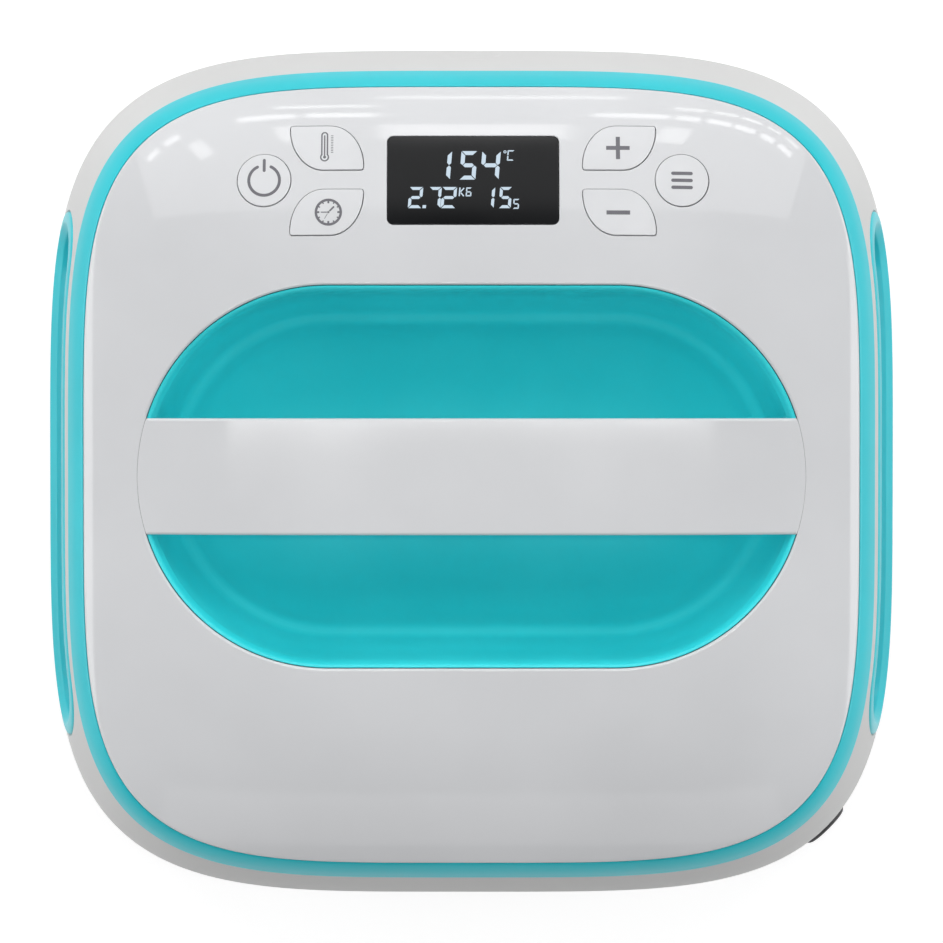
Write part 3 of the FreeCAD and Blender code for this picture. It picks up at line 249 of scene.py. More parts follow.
def circle(centre, radius, spacing):
    """Circle as one arc."""
    return closed_outline([arc(centre, radius, 0, 2 * math.pi, spacing)], spacing)


def square_points(half, power, angles):
    """Points with |x|^power + |y|^power = half^power at some angles, and the gradient of that sum there."""
    ray = rays(angles)
    half = np.broadcast_to(half, len(angles))[:, None]
    points = half / (np.abs(ray) ** power).sum(axis=1, keepdims=True) ** (1 / power) * ray
    return points, np.sign(points) * np.abs(points / half) ** (power - 1)


def square_outline(half, power, count):
    """Rounded square at even angles, with its gradient for a normal."""
    points, gradient = square_points(half, power, even_angles(count))
    return points, unit(gradient)


def bar_outline(grow, spacing):
    """The bar seen from above: straight sides between arcs of the bowl's rim, with small corners."""
    straight = bowl_half_length - bowl_radius
    radius = bowl_radius + grow
    half = bar_half_width
    corner = bar_corner
    reach = math.sqrt((radius - corner) ** 2 - (half - corner) ** 2)
    tilt = math.asin((half - corner) / (radius - corner))
    arcs = [
        arc((straight, 0), radius, -tilt, tilt, spacing),
        arc((straight + reach, half - corner), corner, tilt, quarter, spacing),
        arc((-straight - reach, half - corner), corner, quarter, 2 * quarter - tilt, spacing),
        arc((-straight, 0), radius, 2 * quarter - tilt, 2 * quarter + tilt, spacing),
        arc((-straight - reach, corner - half), corner, 2 * quarter + tilt, 3 * quarter, spacing),
        arc((straight + reach, corner - half), corner, 3 * quarter, 4 * quarter - tilt, spacing),
    ]
    return closed_outline(arcs, spacing)


def reversed_ring(outline):
    """The same outline as the edge of a hole: run the other way, with its normals into the hole."""
    points, normals = outline
    return points[::-1].copy(), -normals[::-1]


# The control panel's own frame, tilted with the dome

panel_place = np.array([panel_x, panel_y, float(dome_height(0.0, panel_y))])
panel_normal = dome_normal(np.array(0.0), np.array(panel_y))
panel_right = np.array([1.0, 0.0, 0.0])
panel_rear = np.cross(panel_normal, panel_right)


def on_dome(outline):
    """Upright edge over the dome: its points, the dome's normals, its own normals and the way down."""
    points, normals = outline
    return on_cover(points), dome_normal(*points.T), at_height(normals, 0.0), np.array([0.0, 0.0, -1.0])


def slid(points, direction, lift):
    """Points moved along a direction until each is at a lift over the dome, by Newton's method."""
    for _ in range(newton_steps):
        x, y, z = points.T
        facing = dome_normal(x, y)
        steep = (facing @ direction) / facing[:, 2]
        points = points - ((z - dome_height(x, y) - lift) / steep)[:, None] * direction
    return points


def panel_plane(places):
    """Places in the panel's frame, on its flat plane."""
    return panel_place + places[:, :1] * panel_right + places[:, 1:] * panel_rear


def panel_points(places, lift=0.0):
    """Places in the panel's frame, moved square to it to a lift over the dome."""
    return slid(panel_plane(places), panel_normal, lift)


def on_panel(outline, lift=0.0):
    """Edge square to the panel, over the dome."""
    points, normals = outline
    places = panel_points(points, lift)
    facing = normals[:, :1] * panel_right + normals[:, 1:] * panel_rear
    return places, dome_normal(places[:, 0], places[:, 1]), facing, -panel_normal


class Shell:
    """Rings and sheets of points, in millimetres, that become one mesh."""

    def __init__(self):
        self.points = []
        self.normals = []
        self.quads = [np.zeros((0, 4), int)]
        self.triangles = [np.zeros((0, 3), int)]
        self.size = 0

    def ring(self, points, normals=None):
        """Adds points and returns their numbers. A point with no normal of its own gets Blender's."""
        self.points.append(points)
        self.normals.append(np.zeros_like(points) if normals is None else normals)
        self.size += len(points)
        return np.arange(self.size - len(points), self.size)

    def strip(self, above, below):
        """Quads between two rings, which face out of a ring that runs anticlockwise."""
        self.quads.append(np.stack([above, below, np.roll(below, -1), np.roll(above, -1)], axis=1))

    def strips(self, rings):
        """Quads between each ring and the next."""
        for above, below in zip(rings, rings[1:]):
            self.strip(above, below)

    def sweep(self, places, closed=False, turned=False):
        """Rings of points joined in turn to a skin, which may close on itself or face the other way."""
        rings = [self.ring(points) for points in places]
        row = rings + rings[:1] if closed else rings
        self.strips(row[::-1] if turned else row)
        return rings

    def fan(self, ring, centre, up=True):
        """Triangles from a ring to one point."""
        tip = self.ring(np.array([centre]))[0]
        after = np.roll(ring, -1)
        pair = (ring, after) if up else (after, ring)
        self.triangles.append(np.stack([*pair, np.full(len(ring), tip)], axis=1))

    def fill(self, rings, flat, spacing, lifted, up=True):
        """Triangles over the area inside the first ring and outside the others. flat gives the rings' places
        in the plane, and lifted turns new plane points into places and normals."""
        loops = [np.asarray(loop) for loop in flat]
        low = loops[0].min(axis=0)
        high = loops[0].max(axis=0)
        x = np.arange(low[0], high[0], spacing)
        y = np.arange(low[1], high[1], spacing * math.sqrt(3) / 2)
        grid_x, grid_y = np.meshgrid(x, y)
        grid_x = grid_x + (np.arange(len(y)) % 2)[:, None] * spacing / 2
        grid = np.stack([grid_x.ravel(), grid_y.ravel()], axis=1)
        grid = grid[inside(grid, loops)]
        for loop in loops:
            gap = np.concatenate([
                np.linalg.norm(part[:, None] - loop[None], axis=2).min(axis=1) for part in parts_of(grid)
            ])
            grid = grid[gap > clear_of_edge * spacing]
        numbers = list(rings)
        if len(grid):
            numbers.append(self.ring(*lifted(grid)))
        numbers = np.concatenate(numbers)
        every = np.concatenate(loops + [grid])
        edges = []
        first = 0
        for loop in loops:
            count = len(loop)
            edges += [(first + k, first + (k + 1) % count) for k in range(count)]
            first += count
        out = delaunay_2d_cdt([tuple(p) for p in every.tolist()], edges, [], 0, fill_tolerance)
        places = np.array([tuple(p) for p in out[0]])
        source = np.array([origin[0] for origin in out[3]])
        walls = np.array([edge for edge, origin in zip(out[1], out[4]) if origin])
        faces = enclosed(places, np.array(out[2]), walls, loops)
        self.triangles.append(numbers[source[faces if up else faces[:, ::-1]]])

    def piece(self, name, material, body, replaced, mirror=False):
        """Makes the mesh and its object, riding on a body in place of the nodes that it replaces."""
        points = np.concatenate(self.points) * metres_per_mm
        normals = np.concatenate(self.normals)
        quads = np.concatenate(self.quads)
        triangles = np.concatenate(self.triangles)
        if mirror:
            points = points * [-1, 1, 1]
            normals = normals * [-1, 1, 1]
            quads = quads[:, ::-1]
            triangles = triangles[:, ::-1]
        mesh = bpy.data.meshes.new(name)
        mesh.vertices.add(len(points))
        mesh.vertices.foreach_set("co", points.ravel())
        corners = np.concatenate([quads.ravel(), triangles.ravel()])
        counts = np.concatenate([np.full(len(quads), 4), np.full(len(triangles), 3)])
        mesh.loops.add(len(corners))
        mesh.loops.foreach_set("vertex_index", corners)
        mesh.polygons.add(len(counts))
        mesh.polygons.foreach_set("loop_start", np.concatenate([[0], np.cumsum(counts)[:-1]]))
        mesh.polygons.foreach_set("use_smooth", np.ones(len(counts), bool))
        mesh.update(calc_edges=True)
        mesh.set_sharp_from_angle(angle=sharp_angle)
        facing = np.zeros(3 * len(counts))
        mesh.polygons.foreach_get("normal", facing)
        facing = np.repeat(facing.reshape(-1, 3), counts, axis=0)
        wanted = normals[corners]
        agrees = (wanted * facing).sum(axis=1) > agreeing
        mesh.normals_split_custom_set((wanted * agrees[:, None]).tolist())
        mesh.materials.append(material)
        made = bpy.data.objects.new(name, mesh)
        bpy.context.scene.collection.objects.link(made)
        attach(made, body)
        if replaced:
            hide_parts(*replaced)


def parts_of(points):
    """Points in parts small enough to set against a whole loop at once."""
    return np.array_split(points, max(1, len(points) // points_at_once))


def enclosed(places, faces, walls, loops):
    """Triangles inside the first loop and outside the others, turned anticlockwise. Triangles that share an
    edge that is no wall get one label, the least of theirs, until none changes. The largest triangle of each
    label says where the label is, and a label with an open edge is outside."""
    a, b, c = (places[faces[:, k]] for k in range(3))
    area = (b - a)[:, 0] * (c - a)[:, 1] - (b - a)[:, 1] * (c - a)[:, 0]
    sides = np.sort(faces[:, [0, 1, 1, 2, 2, 0]].reshape(-1, 2), axis=1) @ [len(places), 1]
    owner = np.repeat(np.arange(len(faces)), 3)
    order = np.argsort(sides, kind="stable")
    sides = sides[order]
    owner = owner[order]
    is_wall = np.isin(sides, np.sort(walls, axis=1) @ [len(places), 1])
    twin = sides[1:] == sides[:-1]
    alone = ~np.append(twin, False) & ~np.insert(twin, 0, False)
    shared = twin & ~is_wall[1:]
    first = owner[:-1][shared]
    second = owner[1:][shared]
    label = np.arange(len(faces))
    changed = True
    while changed:
        least = label.copy()
        np.minimum.at(least, first, label[second])
        np.minimum.at(least, second, label[first])
        least = least[least]
        changed = (least != label).any()
        label = least
    by_area = np.argsort(np.abs(area))
    largest = np.zeros(len(faces), int)
    largest[label[by_area]] = by_area
    centres = (a + b + c)[largest[label]] / 3
    keep = inside(centres, loops) & ~np.isin(label, label[owner[alone & ~is_wall]])
    kept = faces[keep]
    turned = area[keep] < 0
    kept[turned] = kept[turned][:, ::-1]
    return kept


def inside(points, loops):
    """Whether each point is inside the first loop and outside the others, by counting crossings."""
    result = np.ones(len(points), bool)
    for k, loop in enumerate(loops):
        ax, ay = loop.T
        bx, by = np.roll(loop, -1, axis=0).T
        flags = []
        for part in parts_of(points):
            px = part[:, :1]
            py = part[:, 1:]
            spans = (ay > py) != (by > py)
            with np.errstate(divide="ignore", invalid="ignore"):
                crossing = ax + (py - ay) / (by - ay) * (bx - ax)
            flags.append(((spans & (px < crossing)).sum(axis=1) % 2).astype(bool))
        within = np.concatenate(flags)
        result &= within if k == 0 else ~within
    return result


def rolled(shell, edge, radius, steps=turn_steps):
    """Rings of a ball of this radius rolled inside an edge. Its centre is the edge less radius times
    (N + m) / (1 + N.m), and the rings turn from the top's normal N to the side's normal m."""
    places, top, side = edge[:3]
    radius = np.broadcast_to(np.asarray(radius, float), (len(places),))[:, None]
    cosine = (top * side).sum(axis=1, keepdims=True)
    centre = places - radius * (top + side) / (1 + cosine)
    whole = np.arccos(cosine)
    rings = []
    for k in range(steps + 1):
        share = k / steps
        facing = (np.sin((1 - share) * whole) * top + np.sin(share * whole) * side) / np.sin(whole)
        rings.append((centre + radius * facing, facing))
    return [shell.ring(*pair) for pair in rings], rings


def dome_lift(lift, sign=1):
    """Turns plan points into places on the dome, moved up by lift. With a sign of -1 they face down."""
    return lambda flat: (on_cover(flat, lift), sign * dome_normal(*flat.T))


def level_lift(z):
    """The same for a flat floor or ceiling at a height, with Blender's normals."""
    return lambda flat: (at_height(flat, z), None)


def side_lift(x):
    """Turns points (y, z) into places in the upright plane at x, with Blender's normals."""
    return lambda flat: (at_side(flat, x), None)


def domed_plate(shell, edge, radius, drop, spacing, lift):
    """Plate whose top follows the dome: a filled top, a rolled edge and a side wall down to a drop."""
    rings, places = rolled(shell, edge, radius)
    shell.fill([rings[0]], [places[0][0][:, :2]], spacing, dome_lift(lift))
    foot = slid(places[-1][0], edge[3], -drop)
    low = shell.ring(foot)
    shell.strips(rings + [low])
    return low, foot


# Materials


def linear(text):
    """sRGB hex colour turned to linear light."""
    values = [int(text[k:k + 2], 16) / 255 for k in (0, 2, 4)]
    return tuple(v / 12.92 if v <= 0.04045 else ((v + 0.055) / 1.055) ** 2.4 for v in values) + (1.0,)


def add_node(tree, kind, inputs=None, **settings):
    """Adds one node with its settings. An input that is another node's socket is linked."""
    node = tree.nodes.new(kind)
    for key, value in settings.items():
        setattr(node, key, value)
    for key, value in (inputs or {}).items():
        if isinstance(value, bpy.types.NodeSocket):
            tree.links.new(value, node.inputs[key])
        else:
            node.inputs[key].default_value = value
    return node


patch_detail = 3.0
grain_detail = 2.0
tone_from = 0.35
tone_to = 0.65
rough_from = 0.3
rough_to = 0.7


def finish_material(name, colours, rough, patch_mm, grain_mm, grain_height, shader, stretch=(1, 1, 1)):
    """Material of one real surface. Its colour wanders between two near tones in patches, its roughness
    wanders with the same patches, and its bump is a grain of a real size in mm."""
    material = bpy.data.materials.new(name)
    material.use_nodes = True
    tree = material.node_tree
    tree.nodes.clear()
    place = add_node(tree, "ShaderNodeTexCoord")
    turned = add_node(tree, "ShaderNodeMapping", {"Vector": place.outputs["Object"], "Scale": stretch})
    patches = add_node(tree, "ShaderNodeTexNoise", {
        "Vector": turned.outputs["Vector"], "Scale": 1 / (patch_mm * metres_per_mm), "Detail": patch_detail,
    })
    tones = add_node(tree, "ShaderNodeValToRGB", {"Fac": patches.outputs["Fac"]})
    for stop, position, colour in zip(tones.color_ramp.elements, (tone_from, tone_to), colours):
        stop.position = position
        stop.color = linear(colour)
    grain = add_node(tree, "ShaderNodeTexNoise", {
        "Vector": turned.outputs["Vector"], "Scale": 1 / (grain_mm * metres_per_mm), "Detail": grain_detail,
    })
    roughness = add_node(tree, "ShaderNodeMapRange", {
        "Value": patches.outputs["Fac"], "From Min": rough_from, "From Max": rough_to,
        "To Min": rough[0], "To Max": rough[1],
    })
    relief = add_node(tree, "ShaderNodeBump", {
        "Height": grain.outputs["Fac"], "Distance": grain_height * metres_per_mm,
    })
    surface = add_node(tree, "ShaderNodeBsdfPrincipled", {
        "Base Color": tones.outputs["Color"], "Roughness": roughness.outputs["Result"],
        "Normal": relief.outputs["Normal"], **shader,
    })
    add_node(tree, "ShaderNodeOutputMaterial", {"Surface": surface.outputs["BSDF"]})
    return material


# Glossy white ABS: moulded and polished, a cool white whose gloss shows the lamps as soft panes
white_abs = finish_material(
    "glossy_white_abs", ("DBDCDE", "E0E1E3"), (0.05, 0.08), 60.0, 0.5, 0.0006,
    {"IOR": 1.54, "Specular IOR Level": 0.5},
)
# Button caps: the same ABS from a finer tool, a shade whiter and more satin
button_abs = finish_material(
    "satin_white_abs_button", ("DEDFE1", "E3E4E6"), (0.32, 0.38), 20.0, 0.3, 0.004,
    {"IOR": 1.54, "Specular IOR Level": 0.5},
)
# Housing ABS: the same white from a tool with a fine satin, which dulls reflections at its steep sides
housing_abs = finish_material(
    "satin_white_abs_housing", ("DADAD9", "DFDFDE"), (0.42, 0.5), 60.0, 0.4, 0.004,
    {"IOR": 1.54, "Specular IOR Level": 0.12},
)
# Teal ABS: moulded in its colour, satin, with the slight mottle of the pigment
teal_abs = finish_material(
    "satin_teal_abs", ("20C8D4", "28CEDA"), (0.3, 0.38), 40.0, 0.45, 0.004,
    {"IOR": 1.54, "Specular IOR Level": 0.45},
)
# Bowl ABS: the ring's teal made a shade lighter as painted light, standing in for the light that the deep
# bowl loses to its own shade, and more matt than the ring
bowl_teal_painted_light = finish_material(
    "matt_teal_abs_bowl_painted_light", ("32E0E8", "3AE6EE"), (0.35, 0.42), 50.0, 0.45, 0.004,
    {"IOR": 1.54, "Specular IOR Level": 0.42},
)
# Smoked acrylic: a hard window, nearly black, whose gloss shows the lamps as a soft haze
smoked_acrylic = finish_material(
    "smoked_acrylic", ("0E0F11", "121315"), (0.15, 0.19), 30.0, 0.6, 0.001,
    {"IOR": 1.49, "Specular IOR Level": 0.26},
)
# Pad print: matt grey ink with a soft edge to its film
pad_print = finish_material(
    "grey_pad_print", ("6E6D73", "737278"), (0.5, 0.6), 4.0, 0.25, 0.003, {"IOR": 1.5},
)
# Lit segments: pale blue light through a diffusing film
lit_segment = finish_material(
    "lit_segment_film", ("2A3036", "30363C"), (0.4, 0.5), 5.0, 0.3, 0.001,
    {"Emission Color": linear("C8DAE8"), "Emission Strength": 0.95},
)
# Nitrile rubber: dull dark grey with the bloom of a moulded skin
rubber = finish_material(
    "nitrile_rubber", ("3A3A3C", "444446"), (0.6, 0.75), 6.0, 0.4, 0.02, {"IOR": 1.52},
)
# Glass-filled nylon: the dark heat-proof tray, matt with a spark-eroded texture drawn at 0.6 mm
dark_nylon = finish_material(
    "glass_filled_nylon", ("2C2C2F", "343438"), (0.55, 0.68), 12.0, 0.6, 0.04, {"IOR": 1.53},
)
# Non-stick coating on cast aluminium: dark grey with a fine sparkle in it
coated_plate = finish_material(
    "ptfe_coated_aluminium", ("2A2B2D", "3B3C3F"), (0.35, 0.5), 1.2, 0.5, 0.015,
    {"IOR": 1.38, "Metallic": 0.25},
)
# Zinc-plated steel: bright and slightly blue, with the grain of the wire or the sheet
zinc_steel = finish_material(
    "zinc_plated_steel", ("A9ADB2", "BCC0C4"), (0.28, 0.4), 5.0, 0.3, 0.004,
    {"Metallic": 1.0}, stretch=(1, 1, 4),
)
# Stainless tube of the element: dulled by annealing, with a straw tint in patches
annealed_tube = finish_material(
    "annealed_stainless_tube", ("8C8578", "9A958C"), (0.35, 0.5), 9.0, 0.4, 0.01, {"Metallic": 1.0},
)
# Rolled steel sheet: brushed along its length
rolled_steel = finish_material(
    "rolled_steel_sheet", ("9C9FA3", "AEB1B4"), (0.3, 0.42), 10.0, 0.5, 0.006,
    {"Metallic": 1.0, "Anisotropic": 0.5}, stretch=(0.05, 1, 1),
)
# Steatite: dense cream ceramic, fired and unglazed
steatite = finish_material(
    "steatite_ceramic", ("E4DFD2", "ECE8DD"), (0.5, 0.62), 3.0, 0.3, 0.02, {"IOR": 1.6},
)
# Ceramic fibre: a white felt of fine fibres that lie in every direction
fibre_blanket = finish_material(
    "ceramic_fibre_blanket", ("DCD8CC", "EFECE3"), (0.85, 0.95), 5.0, 1.2, 0.5,
    {"Sheen Weight": 0.4, "Sheen Roughness": 0.5},
)
# Circuit board: green solder mask over glass cloth, whose weave shows as a faint grid
solder_mask = finish_material(
    "green_solder_mask", ("0F4A2A", "16583A"), (0.25, 0.38), 2.5, 0.5, 0.01, {"IOR": 1.55},
)
# Moulded epoxy: black bodies of small components
black_epoxy = finish_material(
    "black_moulded_epoxy", ("161618", "202023"), (0.4, 0.55), 3.0, 0.25, 0.01, {"IOR": 1.55},
)
# Polyester tape: glossy yellow wrap of the transformer, with the ridges of its turns
yellow_tape = finish_material(
    "yellow_polyester_tape", ("C39A2E", "D2AA3E"), (0.25, 0.35), 6.0, 0.8, 0.03, {"IOR": 1.57},
    stretch=(1, 1, 6),
)
# Natural nylon: grey moulded inner parts
grey_nylon = finish_material(
    "grey_nylon", ("AFAFAB", "B9B9B5"), (0.42, 0.55), 8.0, 0.35, 0.01, {"IOR": 1.53},
)
# Ribbon: grey PVC with a ridge over each core, 1.27 mm apart
ribbon_pvc = finish_material(
    "grey_ribbon_pvc", ("A5A5A2", "B2B2AE"), (0.4, 0.5), 4.0, 1.27, 0.15, {"IOR": 1.53},
    stretch=(1, 0.02, 0.02),
)
# Fuse: a clear glass tube
fuse_glass = finish_material(
    "clear_soda_glass", ("DDE6E4", "E6EEEC"), (0.03, 0.06), 6.0, 0.5, 0.001,
    {"IOR": 1.52, "Transmission Weight": 0.85},
)
# Terminal block: dull green PBT
terminal_pbt = finish_material(
    "green_pbt", ("2E7A46", "378650"), (0.45, 0.55), 6.0, 0.3, 0.01, {"IOR": 1.57},
)

node_materials = {
    coated_plate: ["heating_plate"],
    annealed_tube: ["heating_element", "temperature_probe"],
    steatite: ["element_terminals"],
    black_epoxy: [
        "thermal_cutoff", "relays", "filter_capacitors", "display_module", "tact_switches", "buzzer",
    ],
    zinc_steel: [
        "sensor_screws", "plate_studs", "stud_nuts", "load_cell_screws", "clamp_screws",
        "power_board_screws", "well_screws", "closing_screws", "handle_screws", "bar_screws",
        "cover_screws", "control_board_screws",
    ],
    rolled_steel: ["heat_shield", "load_cells", "handle_pillars", "handle_stiffener"],
    fibre_blanket: ["insulation_blanket"],
    dark_nylon: ["base_tray"],
    rubber: ["cord_gland"],
    grey_nylon: ["cord_clamp", "button_frame"],
    solder_mask: ["power_board", "control_board"],
    yellow_tape: ["transformer"],
    fuse_glass: ["glass_fuse"],
    terminal_pbt: ["terminal_block"],
    ribbon_pvc: ["ribbon_cable"],
}
button_names = ["power", "temperature", "timer", "plus", "minus", "preset"]
node_materials[grey_nylon] += [name + "_plunger" for name in button_names]
for material, nodes in node_materials.items():
    for node in nodes:
        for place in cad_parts[node].material_slots:
            place.material = material


# Buttons

leaf_is_large = {1: (False, True, False, True), -1: (True, False, True, False)}
button_sides = {
    "power": (-1, 0), "temperature": (-1, 1), "timer": (-1, -1),
    "plus": (1, 1), "minus": (1, -1), "preset": (1, 0),
}
button_spacing = 0.5
cap_edge_round = 0.22
cap_depth = 2.95
brim_reach = 0.9
brim_depth = 4.6
stem_radius = 1.9
stem_length = 9.8


def button_middle(name):
    """Middle of a button in the panel's frame."""
    side_x, side_y = button_sides[name]
    if side_y == 0:
        return np.array([side_x * round_button_x, 0.0])
    return np.array([side_x * leaf_centre[0], side_y * leaf_centre[1]])


def button_outline(name, grow):
    """Outline of a button in the panel's frame, grown on every side. A leaf is a rounded rectangle that was
    drawn squeezed in height, so that its large corners are quarters of an ellipse."""
    side_x, side_y = button_sides[name]
    middle = button_middle(name)
    if side_y == 0:
        return circle(middle, round_button_radius + grow, button_spacing)
    wide = leaf_large_corner[0] + grow
    squeeze = wide / (leaf_large_corner[1] + grow)
    size = (leaf_size[0] + 2 * grow, (leaf_size[1] + 2 * grow) * squeeze)
    corners = [wide if large else leaf_small_corner + grow for large in leaf_is_large[side_x * side_y]]
    points, normals = rounded_rectangle((0, 0), size, corners, button_spacing)
    return points * [1, 1 / squeeze] + middle, unit(normals * [1, squeeze])


def make_button(name):
    """Cap that follows the dome, a flange under it and the stem that meets its plunger."""
    shell = Shell()
    points, normals = button_outline(name, 0.0)
    points = points + cap_shift
    edge = on_panel((points, normals), button_proud)
    low = domed_plate(shell, edge, cap_edge_round, cap_depth, cap_spacing, button_proud)[0]
    brim_places = panel_points(points + brim_reach * normals)
    brim = shell.ring(slid(brim_places, panel_normal, -cap_depth))
    under = slid(brim_places, panel_normal, -brim_depth)
    base = shell.ring(under)
    shell.strips([low, brim, base])
    stem = circle(button_middle(name), stem_radius, stem_spacing)[0][::-1]
    stem_places = slid(panel_points(stem), panel_normal, -brim_depth)
    stem_top = shell.ring(stem_places)
    flats = [under[:, :2], stem_places[:, :2]]
    shell.fill([base, stem_top], flats, brim_spacing, dome_lift(-brim_depth, -1), up=False)
    tip = panel_plane(stem) - stem_length * panel_normal
    stem_end = shell.ring(tip)
    shell.strip(stem_end, stem_top)
    shell.fan(stem_end, tip.mean(axis=0))
    shell.piece(name + "_cap", button_abs, name + "_key", [name + "_button"])


for name in button_names:
    make_button(name)


# Lens and its lit digits

lens_edge_round = 0.25
ink_thick = 0.06
stroke_end_points = 9
arc_mark_points = 48


def make_lens():
    """Dark window flush with the dome, on the cover's ledge."""
    shell = Shell()
    edge = on_panel(rounded_rectangle((0, 0), lens_size, [lens_corner] * 4, button_spacing))
    low, foot = domed_plate(shell, edge, lens_edge_round, lens_thick, lens_spacing, 0.0)
    shell.fill([low], [foot[:, :2]], lens_back_spacing, dome_lift(-lens_thick, -1), up=False)
    shell.piece("display_window", smoked_acrylic, "press", ["display_lens"])


make_lens()


def ink(shell, outlines, lift):
    """Thin printed film over the dome: a filled shape with holes, and its edge down into the surface."""
    tops = []
    flats = []
    lows = []
    for corners in outlines:
        points = divided(corners)
        high = panel_points(points, lift)
        tops.append(shell.ring(high))
        lows.append(shell.ring(panel_points(points, lift - ink_thick)))
        flats.append(high[:, :2])
        shell.strip(tops[-1], lows[-1])
    shell.fill(tops, flats, ink_spacing, dome_lift(lift))
    shell.fill(lows, flats, ink_spacing, dome_lift(lift - ink_thick, -1), up=False)


def divided(corners):
    """Polygon with each side divided at the spacing of sides."""
    corners = np.asarray(corners, float)
    sides = np.roll(corners, -1, axis=0) - corners
    counts = np.maximum(1, (np.linalg.norm(sides, axis=1) / side_spacing).astype(int))
    side = np.repeat(np.arange(len(corners)), counts)
    step = np.arange(len(side)) - np.repeat(np.cumsum(counts) - counts, counts)
    return corners[side] + sides[side] * (step / counts[side])[:, None]


def stroke(start, end, width, rounded=True):
    """Straight mark between two points, with round or square ends."""
    start = np.asarray(start, float)
    end = np.asarray(end, float)
    along = unit(end - start)
    across = np.array([-along[1], along[0]])
    half = width / 2
    if not rounded:
        step = across * half
        return np.array([start - step, end - step, end + step, start + step])
    turn = half * rays(np.linspace(-quarter, quarter, stroke_end_points)) @ [along, across]
    return np.concatenate([end + turn, start - turn])


def curved_stroke(radius, start, end, width):
    """Mark along an arc about the middle, with round ends."""
    ray = rays(np.linspace(start, end, arc_mark_points))
    half = width / 2
    turn = rays(np.linspace(0, math.pi, stroke_end_points)[1:-1])
    across_end = np.array([-ray[-1, 1], ray[-1, 0]])
    across_start = np.array([ray[0, 1], -ray[0, 0]])
    head = radius * ray[-1] + half * turn @ [ray[-1], across_end]
    tail = radius * ray[0] + half * turn @ [-ray[0], across_start]
    return np.concatenate([(radius + half) * ray, head, (radius - half) * ray[::-1], tail])


def disc(centre, radius, count):
    """Circle of points."""
    return np.asarray(centre) + radius * rays(even_angles(count))


def seven_segments(lit, corner, height, width, thick, gap):
    """Polygons of the lit segments of one digit that leans to the right, from its lower left corner."""
    half = thick / 2
    middle = height / 2
    inner = thick + gap
    shapes = {
        "a": [
            (gap, height), (width - gap, height), (width - inner, height - thick), (inner, height - thick),
        ],
        "d": [(inner, thick), (width - inner, thick), (width - gap, 0), (gap, 0)],
        "g": [
            (half + gap, middle), (inner, middle + half), (width - inner, middle + half),
            (width - half - gap, middle), (width - inner, middle - half), (inner, middle - half),
        ],
        "b": [
            (width, height - gap), (width, middle + half), (width - half, middle + gap / 2),
            (width - thick, middle + half + gap), (width - thick, height - inner),
        ],
        "c": [
            (width, gap), (width - thick, inner), (width - thick, middle - half - gap),
            (width - half, middle - gap / 2), (width, middle - half),
        ],
    }
    shapes["f"] = [(width - x, y) for x, y in shapes["b"]]
    shapes["e"] = [(width - x, y) for x, y in shapes["c"]]
    polygons = []
    for letter in lit:
        x, y = np.array(shapes[letter]).T
        clockwise = (x * np.roll(y, -1) - y * np.roll(x, -1)).sum() < 0
        leaned = np.stack([x + digit_slant * y, y], axis=1) + corner
        polygons.append(leaned[::-1] if clockwise else leaned)
    return polygons


segments_of = {
    "1": "bc", "2": "abged", "4": "fgbc", "5": "afgcd", "7": "abc", "C": "afed", "G": "afedcg", "S": "afgcd",
}
digit_slant = 0.08
reading_lift = 0.03
# Rows of the reading: foot, height, width of stroke and gap, then each sign with its left edge and width
reading_rows = [
    (0.0, 9.45, 1.3, 0.18, [("1", -11.99, 4.6), ("5", -4.43, 5.15), ("4", 2.2, 5.9)]),
    (-9.28, 6.85, 0.95, 0.18, [
        ("2", -20.75, 4.4), ("7", -14.4, 3.95), ("2", -10.35, 4.75), ("1", 2.93, 3.6), ("5", 8.06, 3.87),
    ]),
    (6.25, 3.5, 0.42, 0.06, [("C", 10.73, 2.2)]),
    (-5.47, 2.9, 0.42, 0.06, [("G", -2.4, 1.8)]),
    (-9.5, 3.2, 0.42, 0.06, [("S", 12.6, 1.9)]),
]
decimal_point = [(-16.1, -9.28), (-15.0, -9.28), (-14.9, -8.3), (-16.0, -8.3)]
letter_k = [
    ((-4.4, -5.4), (-4.15, -2.6), 0.42), ((-3.95, -3.95), (-2.85, -2.75), 0.4),
    ((-3.9, -4.25), (-2.95, -5.4), 0.4),
]
degree_middle = (10.15, 9.2)
degree_radii = (0.5, 0.24)
degree_points = 20


def make_digits():
    """Reading of the display: 154 and a degree C, 2.72 and kg, 15 and s, as lit segments."""
    shell = Shell()
    polygons = []
    for foot, height, thick, gap, signs in reading_rows:
        for sign, left, width in signs:
            polygons += seven_segments(segments_of[sign], (left, foot), height, width, thick, gap)
    polygons.append(decimal_point)
    polygons += [stroke(*line, rounded=False) for line in letter_k]
    for points in polygons:
        ink(shell, [points], reading_lift)
    outer, inner = [disc(degree_middle, radius, degree_points) for radius in degree_radii]
    ink(shell, [outer, inner[::-1]], reading_lift)
    shell.piece("lit_reading", lit_segment, "press", [])


make_digits()


# Marks on the buttons

mark_lift = button_proud + 0.02
mark_step = 0.002
plus_half = 3.75
plus_stroke = 0.66
power_gap = math.radians(26)
power_radius = 4.9
power_stroke = 0.95
bar_mark_half = 2.9
bar_mark_stroke = 1.1
bulb_points = 30
stem_end_points = 14


def make_mark(name, shapes, shift=(0.0, 0.0)):
    """Printed mark of one button, a shift away from its middle. Each shape is an outline and its holes."""
    shell = Shell()
    middle = button_middle(name) + shift
    for k, outlines in enumerate(shapes):
        ink(shell, [points + middle for points in outlines], mark_lift + mark_step * k)
    shell.piece(name + "_mark", pad_print, name + "_key", [])


